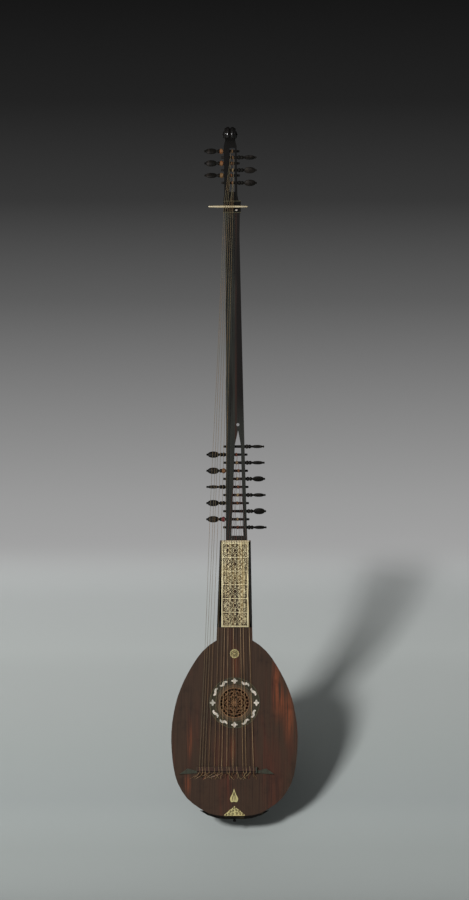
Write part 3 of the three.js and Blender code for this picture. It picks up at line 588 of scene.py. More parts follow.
def plate_into(work, outline, back, front, bevel):
    """A flat plate in X and Z from outline points, its front edge bevelled."""
    corners = [Vector(point) for point in outline]
    middle = sum(corners, Vector((0, 0))) / len(corners)
    rings = []
    for depth, inset in ((back, 0.0), (front + bevel, 0.0), (front, bevel)):
        ring = []
        for corner in corners:
            towards = middle - corner
            moved = corner + towards.normalized() * min(inset, towards.length / 2)
            ring.append((moved.x, depth, moved.y))
        rings.append(ring)
    rings_into(work, rings)


def rounded(profile, rounds=2):
    """Cuts the corners of a profile, a few times over."""
    for _ in range(rounds):
        cut = [profile[0]]
        for one, two in zip(profile, profile[1:]):
            for near in (0.75, 0.25):
                cut.append(tuple(a * near + b * (1 - near) for a, b in zip(one, two)))
        profile = [*cut, profile[-1]]
    return profile


def scaled(shares, width, start, height):
    """A rounded profile from shares of a half width and of a height above its start."""
    return rounded([(across * width, start + along * height) for across, along in shares])


def around(center, radius, angle):
    """The place on a circle at an angle, in X and Z."""
    return center[0] + radius * math.cos(angle), center[1] + radius * math.sin(angle)


def at_depth(points, y):
    """Points of X and Z as points in space."""
    return [Vector((x, y, z)) for x, z in points]


def circle(center, radius, y, steps=48, start=0.0, sweep=FULL_TURN):
    """Points of a circle or an arc in X and Z, its end on its start if it is whole."""
    return at_depth([around(center, radius, start + sweep * k / steps) for k in range(steps + 1)], y)


def scroll(center, size, y, side, start, turns=1.4, steps=26):
    """A spiral that opens from its centre, to the right or to the left."""
    growth = 1 - SCROLL_EYE_SHARE
    reaches = [size * (SCROLL_EYE_SHARE + growth * (k / steps) ** SCROLL_OPENING) for k in range(steps + 1)]
    step = side * FULL_TURN * turns / steps
    return at_depth([around(center, reach, start + step * k) for k, reach in enumerate(reaches)], y)


def rectangle(x0, x1, y0, y1):
    """Its corners, counted from the lower left."""
    return [(x0, y0), (x1, y0), (x1, y1), (x0, y1)]


def extent(points):
    """Lowest and highest corner of the box round some points."""
    return [Vector([pick(values) for values in zip(*points)]) for pick in (min, max)]


def plain(carrier):
    """An object's evaluated shape as a mesh of its own; the object goes."""
    bpy.context.view_layer.update()
    graph = bpy.context.evaluated_depsgraph_get()
    shape = carrier.evaluated_get(graph)
    made = bpy.data.meshes.new_from_object(shape, preserve_all_data_layers=True, depsgraph=graph)
    carrier.modifiers.clear()
    bpy.data.objects.remove(carrier)
    return made


def softened(node, width):
    """A copy of a CAD node with its outer edges rounded and marked for rubbed wear and painted edge
    highlights, shaded by its large faces.
    """
    work = bmesh.new()
    work.from_mesh(frame["nodes"][node].data)
    bmesh.ops.remove_doubles(work, verts=work.verts, dist=CAD_MERGE_REACH)
    bmesh.ops.dissolve_limit(work, angle_limit=FLAT_ANGLE, verts=work.verts, edges=work.edges)
    outer = [edge for edge in work.edges if edge.is_manifold and edge.is_convex]
    sharp = [edge for edge in outer if edge.calc_face_angle() > EDGE_ANGLE]
    shape = {"offset": width, "segments": 2, "profile": 0.5, "clamp_overlap": True}
    bmesh.ops.bevel(work, geom=sharp, affect="EDGES", material=1, **shape)
    bmesh.ops.recalc_face_normals(work, faces=work.faces)
    mesh = bpy.data.meshes.new(node + "_softened")
    work.to_mesh(mesh)
    work.free()
    wear_and_sheen_marks = [1.0] * len(mesh.vertices)
    for face in mesh.polygons:
        for vertex in face.vertices if face.material_index == 0 else ():
            wear_and_sheen_marks[vertex] = 0.0
        face.material_index = 0
    mesh.attributes.new("wear", "FLOAT", "POINT").data.foreach_set("value", wear_and_sheen_marks)
    smooth(mesh)
    carrier = placed(mesh.name, mesh)
    modifier = carrier.modifiers.new("weighted", "WEIGHTED_NORMAL")
    modifier.keep_sharp = True
    modifier.weight = 100
    return plain(carrier)


def spots(node):
    """The distinct corners of a CAD node, lowest first."""
    found = {tuple(round(value, 6) for value in vertex.co) for vertex in frame["nodes"][node].data.vertices}
    return [Vector(point) for point in sorted(found, key=lambda point: point[2])]


def string_line(node):
    """Middle of a string at the bridge, at the nut and at its upper end."""
    corners = spots(node)
    third = len(corners) // 3
    groups = (corners[:third], corners[third : 2 * third], corners[2 * third :])
    return [sum(group, Vector()) / len(group) for group in groups]


def string_names():
    """The strings' nodes, bass side first."""
    names = [name for name in frame["nodes"] if name.startswith(("diapason_", "stopped_string_"))]
    return sorted(names, key=lambda name: string_line(name)[0].x)


# Geometry Nodes


def new_tree(name, **inputs):
    """An empty node tree with a geometry in and out, the named inputs and a finish, and what comes in."""
    tree = bpy.data.node_groups.new(name, "GeometryNodeTree")
    for label, kind in {"Geometry": "Geometry", **inputs, "Finish": "Material"}.items():
        tree.interface.new_socket(label, in_out="INPUT", socket_type="NodeSocket" + kind)
    tree.interface.new_socket("Geometry", in_out="OUTPUT", socket_type="NodeSocketGeometry")
    return tree, tree.nodes.new("NodeGroupInput").outputs


def finish_tree(tree, given, geometry):
    """Ends a tree in Realize Instances and Set Material."""
    real = add_node(tree, "GeometryNodeRealizeInstances", {"Geometry": geometry})
    values = {"Geometry": real.outputs["Geometry"], "Material": given["Finish"]}
    painted = add_node(tree, "GeometryNodeSetMaterial", values)
    add_node(tree, "NodeGroupOutput", {"Geometry": painted.outputs["Geometry"]})
    return tree


def cord_tree():
    """Turns the edges of a mesh into round cords."""
    tree, given = new_tree("cord_along_edges", Radius="Float", Sides="Int")
    lines = add_node(tree, "GeometryNodeMeshToCurve", {"Mesh": given["Geometry"]})
    values = {"Radius": given["Radius"], "Resolution": given["Sides"]}
    ring = add_node(tree, "GeometryNodeCurvePrimitiveCircle", values)
    values = {"Curve": lines.outputs["Curve"], "Profile Curve": ring.outputs["Curve"], "Fill Caps": True}
    skin = add_node(tree, "GeometryNodeCurveToMesh", values)
    return finish_tree(tree, given, skin.outputs["Mesh"])


def copies_tree():
    """Puts a copy of one shape at each point, turned about Y by the point's own angle."""
    tree, given = new_tree("copies_on_points", Shape="Object")
    shape = add_node(tree, "GeometryNodeObjectInfo", {"Object": given["Shape"]})
    turn = add_node(tree, "GeometryNodeInputNamedAttribute", {"Name": "turn"})
    angles = add_node(tree, "ShaderNodeCombineXYZ", {"Y": turn.outputs["Attribute"]})
    values = {"Instance": shape.outputs["Geometry"], "Rotation": angles.outputs["Vector"]}
    copies = add_node(tree, "GeometryNodeInstanceOnPoints", {"Points": given["Geometry"], **values})
    return finish_tree(tree, given, copies.outputs["Instances"])


def run_tree(name, mesh, tree, values):
    """The plain mesh that a tree makes of a mesh."""
    carrier = placed(name, mesh)
    modifier = carrier.modifiers.new(tree.name, "NODES")
    modifier.node_group = tree
    for item in tree.interface.items_tree:
        if item.item_type == "SOCKET" and item.in_out == "INPUT" and item.name in values:
            modifier[item.identifier] = values[item.name]
    work = bmesh.new()
    work.from_mesh(plain(carrier))
    return mesh_of(name, work)


def line_mesh(name, lines):
    """A mesh of bare edges through each line of points."""
    points = []
    edges = []
    for line in lines:
        start = len(points)
        points.extend(line)
        edges.extend((start + k, start + k + 1) for k in range(len(line) - 1))
    mesh = bpy.data.meshes.new(name)
    mesh.from_pydata(points, edges, [])
    return mesh


def copies(name, shape, points, turns, finish):
    """Copies of the shape mesh at the points, as one mesh."""
    mesh = bpy.data.meshes.new(name + "_points")
    mesh.from_pydata(points, [], [])
    mesh.attributes.new("turn", "FLOAT", "POINT").data.foreach_set("value", turns)
    model = placed(name + "_shape", shape)
    made = run_tree(name, mesh, trees["copies"], {"Shape": model, "Finish": finishes[finish]})
    bpy.data.objects.remove(model)
    return made


trees = {}


# Pieces


class TheorboInlays(bpy.types.PropertyGroup):
    """Sizes of the rose, the ring and the ivory inlays."""

    lattice_radius: length("Lattice bar", 0.00056, "Radius of the carved bars of the rose")
    rim_radius: length("Rose rim", 0.0011, "Radius of the rose's outer ring")
    petals: count("Rose circles", 12, "Circles that cross in the middle of the rose")
    pearls: count("Pearl pieces", 12, "Pieces of pearl in the ring")
    pearl_length: length("Pearl length", 0.0245, "Length of a curved piece of pearl")
    pearl_width: length("Pearl width", 0.0108, "Width of a piece of pearl")
    line_radius: length("Inlaid line", 0.0004, "Radius of the fine ivory lines")
    engraving_radius: length("Engraved line", 0.00085, "Radius of the dark engraved lines")
    inlay_rise: length("Inlay rise", 0.00035, "How far an inlay stands above the wood")
    disc_radius: length("Small disc", 0.013, "Radius of the scalloped ivory disc above the rose")
    flame_height: length("Flame height", 0.0388, "Height of the ivory flame below the bridge")
    flame_width: length("Flame width", 0.0246, "Width of the ivory flame")
    base_height: length("Lower ornament height", 0.0275, "Height of the ivory ornament at the tail")
    base_width: length("Lower ornament width", 0.059, "Width of the ivory ornament at the tail")


class TheorboStringwork(bpy.types.PropertyGroup):
    """Sizes of strings, knots, windings and pegs."""

    stopped_radius: length("Stopped string", 0.0005, "Radius of the strings over the fingerboard")
    diapason_radius: length("Bass string", 0.00045, "Radius of the long bass strings")
    # The dark strip is painted shade: it stands for the shadowed recess under the bridge's bar.
    shade_strip_lift: length("Slot lift", 0.0042, "How far the dark strip lies above the bar's lower edge")
    shade_strip_radius: length("Slot strip", 0.0013, "Half height of the dark strip on the bridge")
    shaft_radius: length("Peg shaft", 0.0042, "Radius of a peg's shaft in its box")
    coil_gap: length("Coil gap", 0.0003, "Room between a shaft and its winding")
    turn_gap: length("Turn gap", 0.0006, "Room between two turns of a winding")
    slack: length("Slack", 0.0016, "How far the slack bass strings wander sideways")
    tail_count: count("Loose ends", 42, "Frayed string ends below the bridge")
    tail_length: length("Loose end", 0.027, "Length of a frayed string end")
    head_length: length("Peg head", 0.036, "Length of a peg's flat head")
    head_half_width: length("Peg head width", 0.0094, "Half width of a peg's flat head")
    bead_radius: length("Peg bead", 0.0064, "Radius of the turned beads")


class TheorboNeckwork(bpy.types.PropertyGroup):
    """Sizes of the panel's engraving and of the trims on the long neck."""

    border: length("Panel border", 0.0022, "Distance of the outer engraved line from the panel's edge")
    border_gap: length("Border gap", 0.0018, "Distance between the two border lines")
    fields: count("Panel fields", 6, "Framed fields along the panel")
    ground_rise: length("Ground rise", 0.0002, "How far the dark ground of a field stands out")
    scroll_radius: length("Scroll line", 0.00062, "Radius of the light scrolls on the dark ground")
    line_radius: length("Engraved line", 0.00055, "Radius of the engraved lines")
    band_radius: length("Collar band", 0.0005, "Radius of the light bands round the collar")
    volute_radius: length("Volute ridge", 0.0034, "Radius of the scroll's ridge at its rim")
    lozenge_width: length("Lozenge", 0.009, "Width of the pearl lozenge on the collar")


DISC_HEIGHT = 0.4767
FLAME_FOOT = 0.0558
ORNAMENT_FOOT = 0.0176
# Half widths and heights of the flame and of the tail ornament, as shares of their sizes.
flame_shares = [(0, 0.05), (0.3, 0.02), (0.6, 0), (0.82, 0.07), (0.95, 0.22)]
flame_shares += [(0.9, 0.33), (0.68, 0.45), (0.42, 0.58), (0.24, 0.75), (0, 1)]
base_shares = [(0.97, 0), (1, 0.1), (0.84, 0.22), (0.74, 0.32), (0.6, 0.45)]
base_shares += [(0.5, 0.58), (0.3, 0.7), (0.16, 0.82), (0, 1)]
# An engraved line of the flame: how far it lies from its middle line, and its height.
flame_line = [(0.0052, 0.005), (0.0046, 0.012), (0.0018, 0.022), (0, 0.03)]
FLAME_LINE_SHIFT = 0.0012
# Scrolls on one half of the tail ornament: distance from its middle, height and size.
ornament_scrolls = [
    (0.006, 0.006, 0.0046),
    (0.0155, 0.0055, 0.004),
    (0.0235, 0.0035, 0.0028),
    (0.0045, 0.0155, 0.0035),
    (0.0118, 0.0128, 0.0034),
    (0.0022, 0.0222, 0.002),
]
# Lowest points of a rib seam that lie under the tail cap.
HIDDEN_SEAM_POINTS = 3
# The rose's crossed field, its inner circles and the squares in it, as shares of the radius outside each.
FIELD_SHARE = 0.77
INNER_CIRCLE_SHARES = (0.2, 0.5)
SQUARE_SHARE = 0.8
FIELD_STEPS = 72
INNER_CIRCLE_STEPS = (36, 60)
PETAL_STEPS = 40
ARCH_STEPS = 16
FINE_STEPS = 96
# A pearl ribbon's sway, its half width at the ends and what the middle adds, and its narrow places.
RIBBON_STEPS = 14
RIBBON_SWAY_SHARE = 0.45
RIBBON_END_SHARE = 0.22
RIBBON_MIDDLE_SHARE = 0.62
RIBBON_WAIST_SHARE = 0.25
# A pearl leaf's half length and half width as shares of the pearl's, and the depth and number of its lobes.
LEAF_STEPS = 48
leaf_shares = (0.58, 1.12)
LEAF_LOBE_SHARE = 0.3
LEAF_LOBES = 4
# The disc's scallops, its engraved circle and the ring of small circles in it, as shares of its radius.
DISC_LOBES = 6
DISC_SCALLOP_SHARE = 0.1
DISC_LINE_SHARE = 0.68
DISC_LINE_STEPS = 40
SMALL_CIRCLE_PLACE_SHARE = 0.38
SMALL_CIRCLE_SHARE = 0.13
SMALL_CIRCLE_STEPS = 16


def seam(one, two, center_y, low_z, high_z):
    """Points along the outer seam between two ribs, from the tail upwards."""
    others = spots(two)
    pairs = [(corner, min(others, key=lambda other: (other - corner).length)) for corner in spots(one)]
    middles = [(corner + other) / 2 for corner, other in pairs if (other - corner).length < SEAM_REACH]

    def reach(point):
        return (point - Vector((0, center_y, min(max(point.z, low_z), high_z)))).length

    outer = []
    for point in middles:
        near = [other for other in middles if (other - point).length < RIB_REACH]
        if reach(point) >= max(reach(other) for other in near):
            outer.append(point)
    return sorted(outer, key=lambda point: point.z)


class THEORBO_OT_body(bpy.types.Operator):
    """Soundboard, ribs, tail cap, button, bars and blocks"""

    bl_idname = "theorbo.body"
    bl_label = "Body"

    def execute(self, context):
        sizes = context.scene.theorbo_inlays
        carry("soundboard", "belly")
        ribs = sorted(name for name in frame["nodes"] if name.startswith("bowl_rib_"))
        for name in ribs:
            carry(name, "rib", "thin")
        for name in frame["nodes"]:
            if name.startswith("belly_bar_") or name in ("tail_block", "neck_block"):
                carry(name, "spruce")
        carry("tail_cap", "tail")
        carry("end_button", "tail")
        low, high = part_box("soundboard")
        span = (high.y, low.z + high.x, high.z - high.x)
        lines = [seam(one, two, *span)[HIDDEN_SEAM_POINTS:] for one, two in zip(ribs, ribs[1:])]
        corded("rib_lines", lines, sizes.line_radius, LINE_SIDES, "ivory")
        return {"FINISHED"}


class THEORBO_OT_rose(bpy.types.Operator):
    """Pierced rose with its pearl ring"""

    bl_idname = "theorbo.rose"
    bl_label = "Rose and ring"

    def execute(self, context):
        sizes = context.scene.theorbo_inlays
        low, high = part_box("rose")
        y = (low.y + high.y) / 2
        center = ((low.x + high.x) / 2, (low.z + high.z) / 2)
        radius = (high.x - low.x) / 2
        field = radius * FIELD_SHARE
        petal = field / 2
        arch = (radius - field) / 2
        rounds = [(center, reach, FIELD_STEPS) for reach in (radius - sizes.rim_radius, field)]
        inner = zip(INNER_CIRCLE_SHARES, INNER_CIRCLE_STEPS)
        rounds += [(center, radius * share, steps) for share, steps in inner]
        rounds += [(around(center, petal, turn), petal, PETAL_STEPS) for turn in turns_of(sizes.petals)]
        rounds += [(center, field, 3, start) for start in (math.pi / 2, -math.pi / 2)]
        rounds += [(center, field * SQUARE_SHARE, 4, start) for start in (0, math.pi / 4)]
        arches = turns_of(2 * sizes.petals, 0.5)
        rounds += [(around(center, field + arch, turn), arch, ARCH_STEPS) for turn in arches]
        lines = [circle(middle, size, y, *rest) for middle, size, *rest in rounds]
        corded("rose_tracery", lines, sizes.lattice_radius, LINE_SIDES, "rose", nodes=("rose",))
        corded("rose_rim", lines[:1], sizes.rim_radius, STRING_SIDES, "rose")
        self.ring(sizes, center)
        return {"FINISHED"}

    def ring(self, sizes, center):
        """The dark ring with its wavy ribbons and leaves of pearl, between two thin lines."""
        carry("rosette_ring", "mastic", "thin")
        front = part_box("rosette_ring")[0].y
        half_length = sizes.pearl_length / 2
        half_width = sizes.pearl_width / 2
        upper = []
        lower = []
        for k in range(RIBBON_STEPS + 1):
            along = 2 * k / RIBBON_STEPS - 1
            sway = half_width * RIBBON_SWAY_SHARE * math.sin(math.pi * along)
            waist = RIBBON_WAIST_SHARE * (1 - math.cos(FULL_TURN * along))
            swell = math.sqrt(1 - along * along) * (1 - waist)
            fat = half_width * (RIBBON_END_SHARE + RIBBON_MIDDLE_SHARE * swell)
            upper.append((half_length * along, sway + fat))
            lower.append((half_length * along, sway - fat))
        leaf = []
        for turn in turns_of(LEAF_STEPS):
            x, z = around((0, 0), 1 + LEAF_LOBE_SHARE * math.cos(LEAF_LOBES * turn), turn)
            leaf.append((half_length * leaf_shares[0] * x, half_width * leaf_shares[1] * z))
        rise = sizes.inlay_rise
        ribbon = upper + lower[::-1]
        for label, outline, wanted in (("pearl_ribbons", ribbon, (1, 2)), ("pearl_leaves", leaf, (0,))):
            work = bmesh.new()
            plate_into(work, outline, rise, -rise, rise / 2)
            turns = [turn for k, turn in enumerate(turns_of(sizes.pearls)) if k % 3 in wanted]
            points = at_depth([around(center, RING_RADIUS, math.pi / 2 - turn) for turn in turns], front)
            piece(label, copies(label, mesh_of(label + "_shape", work), points, turns, "pearl"), "pearl")
        circles = [circle(center, radius, front, FINE_STEPS) for radius in RING_LINE_RADII]
        corded("ring_lines", circles, sizes.line_radius, LINE_SIDES, "ring_line")


def mirrored(profile, middle):
    """An outline from half widths and heights, run up one side and down the other."""
    right = [(middle + width, height) for width, height in profile]
    left = [(middle - width, height) for width, height in reversed(profile) if width > MERGE_REACH]
    return right + left


class THEORBO_OT_inlays(bpy.types.Operator):
    """Ivory disc, flame and tail ornament on the soundboard"""

    bl_idname = "theorbo.inlays"
    bl_label = "Ivory inlays"

    def execute(self, context):
        sizes = context.scene.theorbo_inlays
        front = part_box("soundboard")[0].y
        rise = sizes.inlay_rise
        radius = sizes.disc_radius
        place = (0, DISC_HEIGHT)
        disc = []
        for turn in turns_of(FINE_STEPS):
            scallop = DISC_SCALLOP_SHARE * (1 - abs(math.cos(DISC_LOBES * turn)))
            disc.append(around(place, radius * (1 - scallop), turn))
        half = sizes.flame_width / 2
        flame = mirrored(scaled(flame_shares, half, FLAME_FOOT, sizes.flame_height), -half / 10)
        base = mirrored(scaled(base_shares, sizes.base_width / 2, ORNAMENT_FOOT, sizes.base_height), 0.0)
        for name, outline in (("scalloped_disc", disc), ("ivory_flame", flame), ("tail_ornament", base)):
            work = bmesh.new()
            plate_into(work, outline, front + rise, front - rise, rise / 2)
            formed(name, work, "inlay")
        y = front - rise
        lines = [circle(place, radius * DISC_LINE_SHARE, y, DISC_LINE_STEPS)]
        for turn in turns_of(DISC_LOBES):
            middle = around(place, radius * SMALL_CIRCLE_PLACE_SHARE, turn)
            lines.append(circle(middle, radius * SMALL_CIRCLE_SHARE, y, SMALL_CIRCLE_STEPS))
        for side in (-1, 0, 1):
            line = [(side * across - FLAME_LINE_SHIFT, FLAME_FOOT + lift) for across, lift in flame_line]
            lines.append(at_depth(line, y))
        for side in (1, -1):
            for reach, lift, size in ornament_scrolls:
                lines.append(scroll((side * reach, ORNAMENT_FOOT + lift), size, y, side, 0.0))
        corded("inlay_engraving", lines, sizes.engraving_radius, FINE_SIDES, "ink")
        return {"FINISHED"}


CHANCE_SEED = 7
# Steps of a loose string end, its reach from the wood, and how far it leans and bends at random.
END_STEPS = 9
END_LIFT = 0.0012
END_LEAN = 0.0014
END_BEND = 0.0011
# Where it starts beside its string and above the bridge's foot, its length and its thickness, as shares.
END_START_SPREAD = (-0.002, 0.003)
END_START_LIFT = 0.002
END_LENGTH_SHARES = (0.35, 1.0)
END_THICKNESS = 0.8
# The knob on the dark strip: radii and reaches as shares of the strip's half height.
slot_knob_shares = [(2.6, 0), (2.6, 2), (1.4, 3.4), (0.1, 3.6)]
# The finishes that the loose ends have in turn.
end_finishes = ("gut", "gut_red", "gut", "ebony")


class THEORBO_OT_bridge(bpy.types.Operator):
    """Bridge with its knots and frayed string ends"""

    bl_idname = "theorbo.bridge"
    bl_label = "Bridge"

    def execute(self, context):
        sizes = context.scene.theorbo_stringwork
        carry("bridge", "bridge", "full")
        low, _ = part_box("bridge")
        strings = [string_line(name)[0] for name in string_names()]
        radius = sizes.stopped_radius
        top = strings[0].z - sizes.coil_gap
        foot = low.z + BRIDGE_TIP_DROP
        over = low.y - radius
        loops = []
        wraps = []
        for x, y, z in strings:
            # Each point's distance beside the string, its depth and its height.
            loop = [(0, y, z), (0, y - 0.0012, top + 0.0012), (0, over, top - 0.0004)]
            loop += [(0.0008, over, (top + foot) / 2), (0.0014, over, foot + 0.001)]
            loop += [(0.0014, low.y + 0.0018, foot - 0.0006)]
            upper = [(-0.0022, y - 0.0008, top + 0.0012), (0.0026, y - 0.0012, top + 0.0016)]
            lower = [(-0.002, over - 0.0002, top - 0.0034), (0.0028, over, top - 0.0026)]
            for group, line in ((loops, loop), (wraps, upper), (wraps, lower)):
                group.append([Vector((x + across, depth, height)) for across, depth, height in line])
        corded("bridge_knots", loops, radius, LINE_SIDES, "gut")
        corded("bridge_wraps", wraps, radius, LINE_SIDES, "gut_dark")
        # A dark strip of painted shade for the recess under the bar.
        self.painted_shade_strip(sizes, strings, low.y, foot + sizes.shade_strip_lift)
        chance = random.Random(CHANCE_SEED)
        drop_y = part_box("soundboard")[0].y - END_LIFT - low.y
        ends = {finish: [] for finish in end_finishes}
        for k in range(sizes.tail_count):
            start = strings[k % len(strings)]
            begin = start.x + chance.uniform(*END_START_SPREAD)
            line = [Vector((begin, over, foot + END_START_LIFT))]
            lean = chance.uniform(-END_LEAN, END_LEAN)
            for step in range(END_STEPS):
                lean += chance.uniform(-END_BEND, END_BEND)
                drop = sizes.tail_length * chance.uniform(*END_LENGTH_SHARES) / END_STEPS
                depth = low.y + drop_y * (step + 1) / END_STEPS - END_LIFT / 2
                line.append(Vector((line[-1].x + lean, depth, line[-1].z - drop)))
            ends[end_finishes[k % len(end_finishes)]].append(line)
        for finish, lines in ends.items():
            corded("string_ends_" + finish, lines, radius * END_THICKNESS, FINE_SIDES, finish)
        return {"FINISHED"}

    def painted_shade_strip(self, sizes, strings, front, height):
        """A dark strip of painted shade, standing for the shadowed recess under the bar's top that the
        strings are knotted over, with a knob at its treble end.
        """
        half = sizes.shade_strip_radius
        x0, x1 = strings[0].x - BAR_REACH, strings[-1].x + BAR_REACH
        work = bmesh.new()
        outline = rectangle(x0, x1, height - half, height + half)
        plate_into(work, outline, front + half, front - half / 2, half / 3)
        knob = scaled(slot_knob_shares, half, 0, half)
        turned_into(work, knob, Vector((x1, front + half, height + half)), (0, -1, 0), TURNED_SIDES)
        formed("bridge_slot", work, "head")


# Scrolls in a quarter of a field: place across and along as shares of its half sizes, and size.
field_scroll_shares = [(0.76, 0.62, 0.34), (0.8, 0.14, 0.2), (0.42, 0.82, 0.2), (0.52, 0.36, 0.16)]
# The middle of a field, even ones first: corners of its figure and the sizes of its two lines.
field_figures = ((4, (0.72, 0.42)), (36, (0.52, 0.28)))
# The small circles round the figure: how many, and their place and size as shares of its half height.
FIELD_CIRCLES = 8
FIELD_CIRCLE_PLACE_SHARE = 0.76
FIELD_CIRCLE_SHARE = 0.11
# A scroll's turns and steps, and the arcs at its end: how many, corners, place, size, start and sweep.
FIELD_SCROLL_TURNS = 1.6
FIELD_SCROLL_STEPS = 20
SPRIG_ARCS = 3
SPRIG_STEPS = 5
SPRIG_PLACE_SHARE = 1.15
SPRIG_SHARE = 0.28
SPRIG_START = -1.8
SPRIG_SWEEP = 2.4


class THEORBO_OT_neck(bpy.types.Operator):
    """Neck, fingerboard, engraved ivory panel and nut"""

    bl_idname = "theorbo.neck"
    bl_label = "Neck"

    def execute(self, context):
        sizes = context.scene.theorbo_neckwork
        carry("neck", "neck", "thin")
        carry("fingerboard", "ebony")
        carry("ivory_panel", "ivory", "thin")
        carry("nut", "old_ivory")
        low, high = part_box("ivory_panel")
        y = low.y
        edge, gap, rise = sizes.border, sizes.border_gap, sizes.ground_rise
        border = rectangle(low.x + edge, high.x - edge, low.z + edge, high.z - edge)
        x0, x1 = low.x + edge + gap, high.x - edge - gap
        foot = low.z + edge + gap
        pitch = (high.z - edge - foot) / sizes.fields
        grounds = bmesh.new()
        scrolls = []
        for k in range(sizes.fields):
            z0 = foot + k * pitch
            z1 = z0 + pitch - gap
            plate_into(grounds, rectangle(x0, x1, z0, z1), y + rise, y - rise, rise / 2)
            scrolls += self.field(x0, x1, y - rise, z0, z1, k)
        formed("panel_ground", grounds, "ink")
        corded("panel_frame", [at_depth(border + border[:1], y)], sizes.line_radius, FINE_SIDES, "ink")
        corded("panel_scrolls", scrolls, sizes.scroll_radius, LINE_SIDES, "ivory")
        return {"FINISHED"}

    def field(self, x0, x1, y, z0, z1, number):
        """One framed field: a round or a lozenge in the middle and leafy scrolls on both sides of it."""
        center = ((x0 + x1) / 2, (z0 + z1) / 2)
        half, tall = (x1 - x0) / 2, (z1 - z0) / 2
        corners, figure_shares = field_figures[number % 2]
        lines = [circle(center, tall * size, y, corners) for size in figure_shares]
        for turn in turns_of(FIELD_CIRCLES):
            middle = around(center, tall * FIELD_CIRCLE_PLACE_SHARE, turn)
            lines.append(circle(middle, tall * FIELD_CIRCLE_SHARE, y, FIELD_CIRCLES))
        sides = [(side, rise) for side in (1, -1) for rise in (1, -1)]
        for (side, rise), (across, along, size) in itertools.product(sides, field_scroll_shares):
            spot = (center[0] + side * across * half, center[1] + rise * along * tall)
            start = math.pi / 2 * (1 - rise) + number
            reach = size * tall
            turns, steps = FIELD_SCROLL_TURNS, FIELD_SCROLL_STEPS
            lines.append(scroll(spot, reach, y, side * rise, start, turns, steps))
            for leaf in turns_of(SPRIG_ARCS):
                root = around(spot, reach * SPRIG_PLACE_SHARE, start + leaf)
                first = start + leaf + SPRIG_START
                lines.append(circle(root, reach * SPRIG_SHARE, y, SPRIG_STEPS, first, SPRIG_SWEEP))
        return lines


# Place along the half length of the upper nut and the thickness there.
nut_shares = [(-1, 0.4), (-0.97, 0.62), (-0.6, 0.86), (0, 1), (0.6, 0.86), (0.97, 0.62), (1, 0.4)]
HEAD_SCROLL_CENTER_Z = 1.9479
SCROLL_TOP_SHARE = 0.9
# How far in the groove under the rolls lies, as a share of the scroll's radius.
ROLL_GROOVE_SHARE = 0.8
ROLL_STEPS = 48
# The roll runs over this share of a turn, and is this thick at its ends.
ROLL_SWEEP = 0.72
roll_end_shares = [0.3, 0.7, 0.92]
VOLUTE_STEPS = 60
VOLUTE_TURNS = 1.6
VOLUTE_EYE_RADIUS = 0.0062
VOLUTE_RISE = 0.0052
# Where a volute starts on the rim, in turns, how far its ridge is sunk, and how thin it is at the eye.
VOLUTE_START = -0.31
RIDGE_SINK_SHARE = 0.35
VOLUTE_END_SHARE = 0.5
RIDGE_SIDES = 10
# The button in the eye: radii as shares of the eye's and reaches as shares of the volute's rise.
button_shares = [(1, 0), (1, 0.7), (0.5, 1.3), (0.0004 / VOLUTE_EYE_RADIUS, 1.4)]


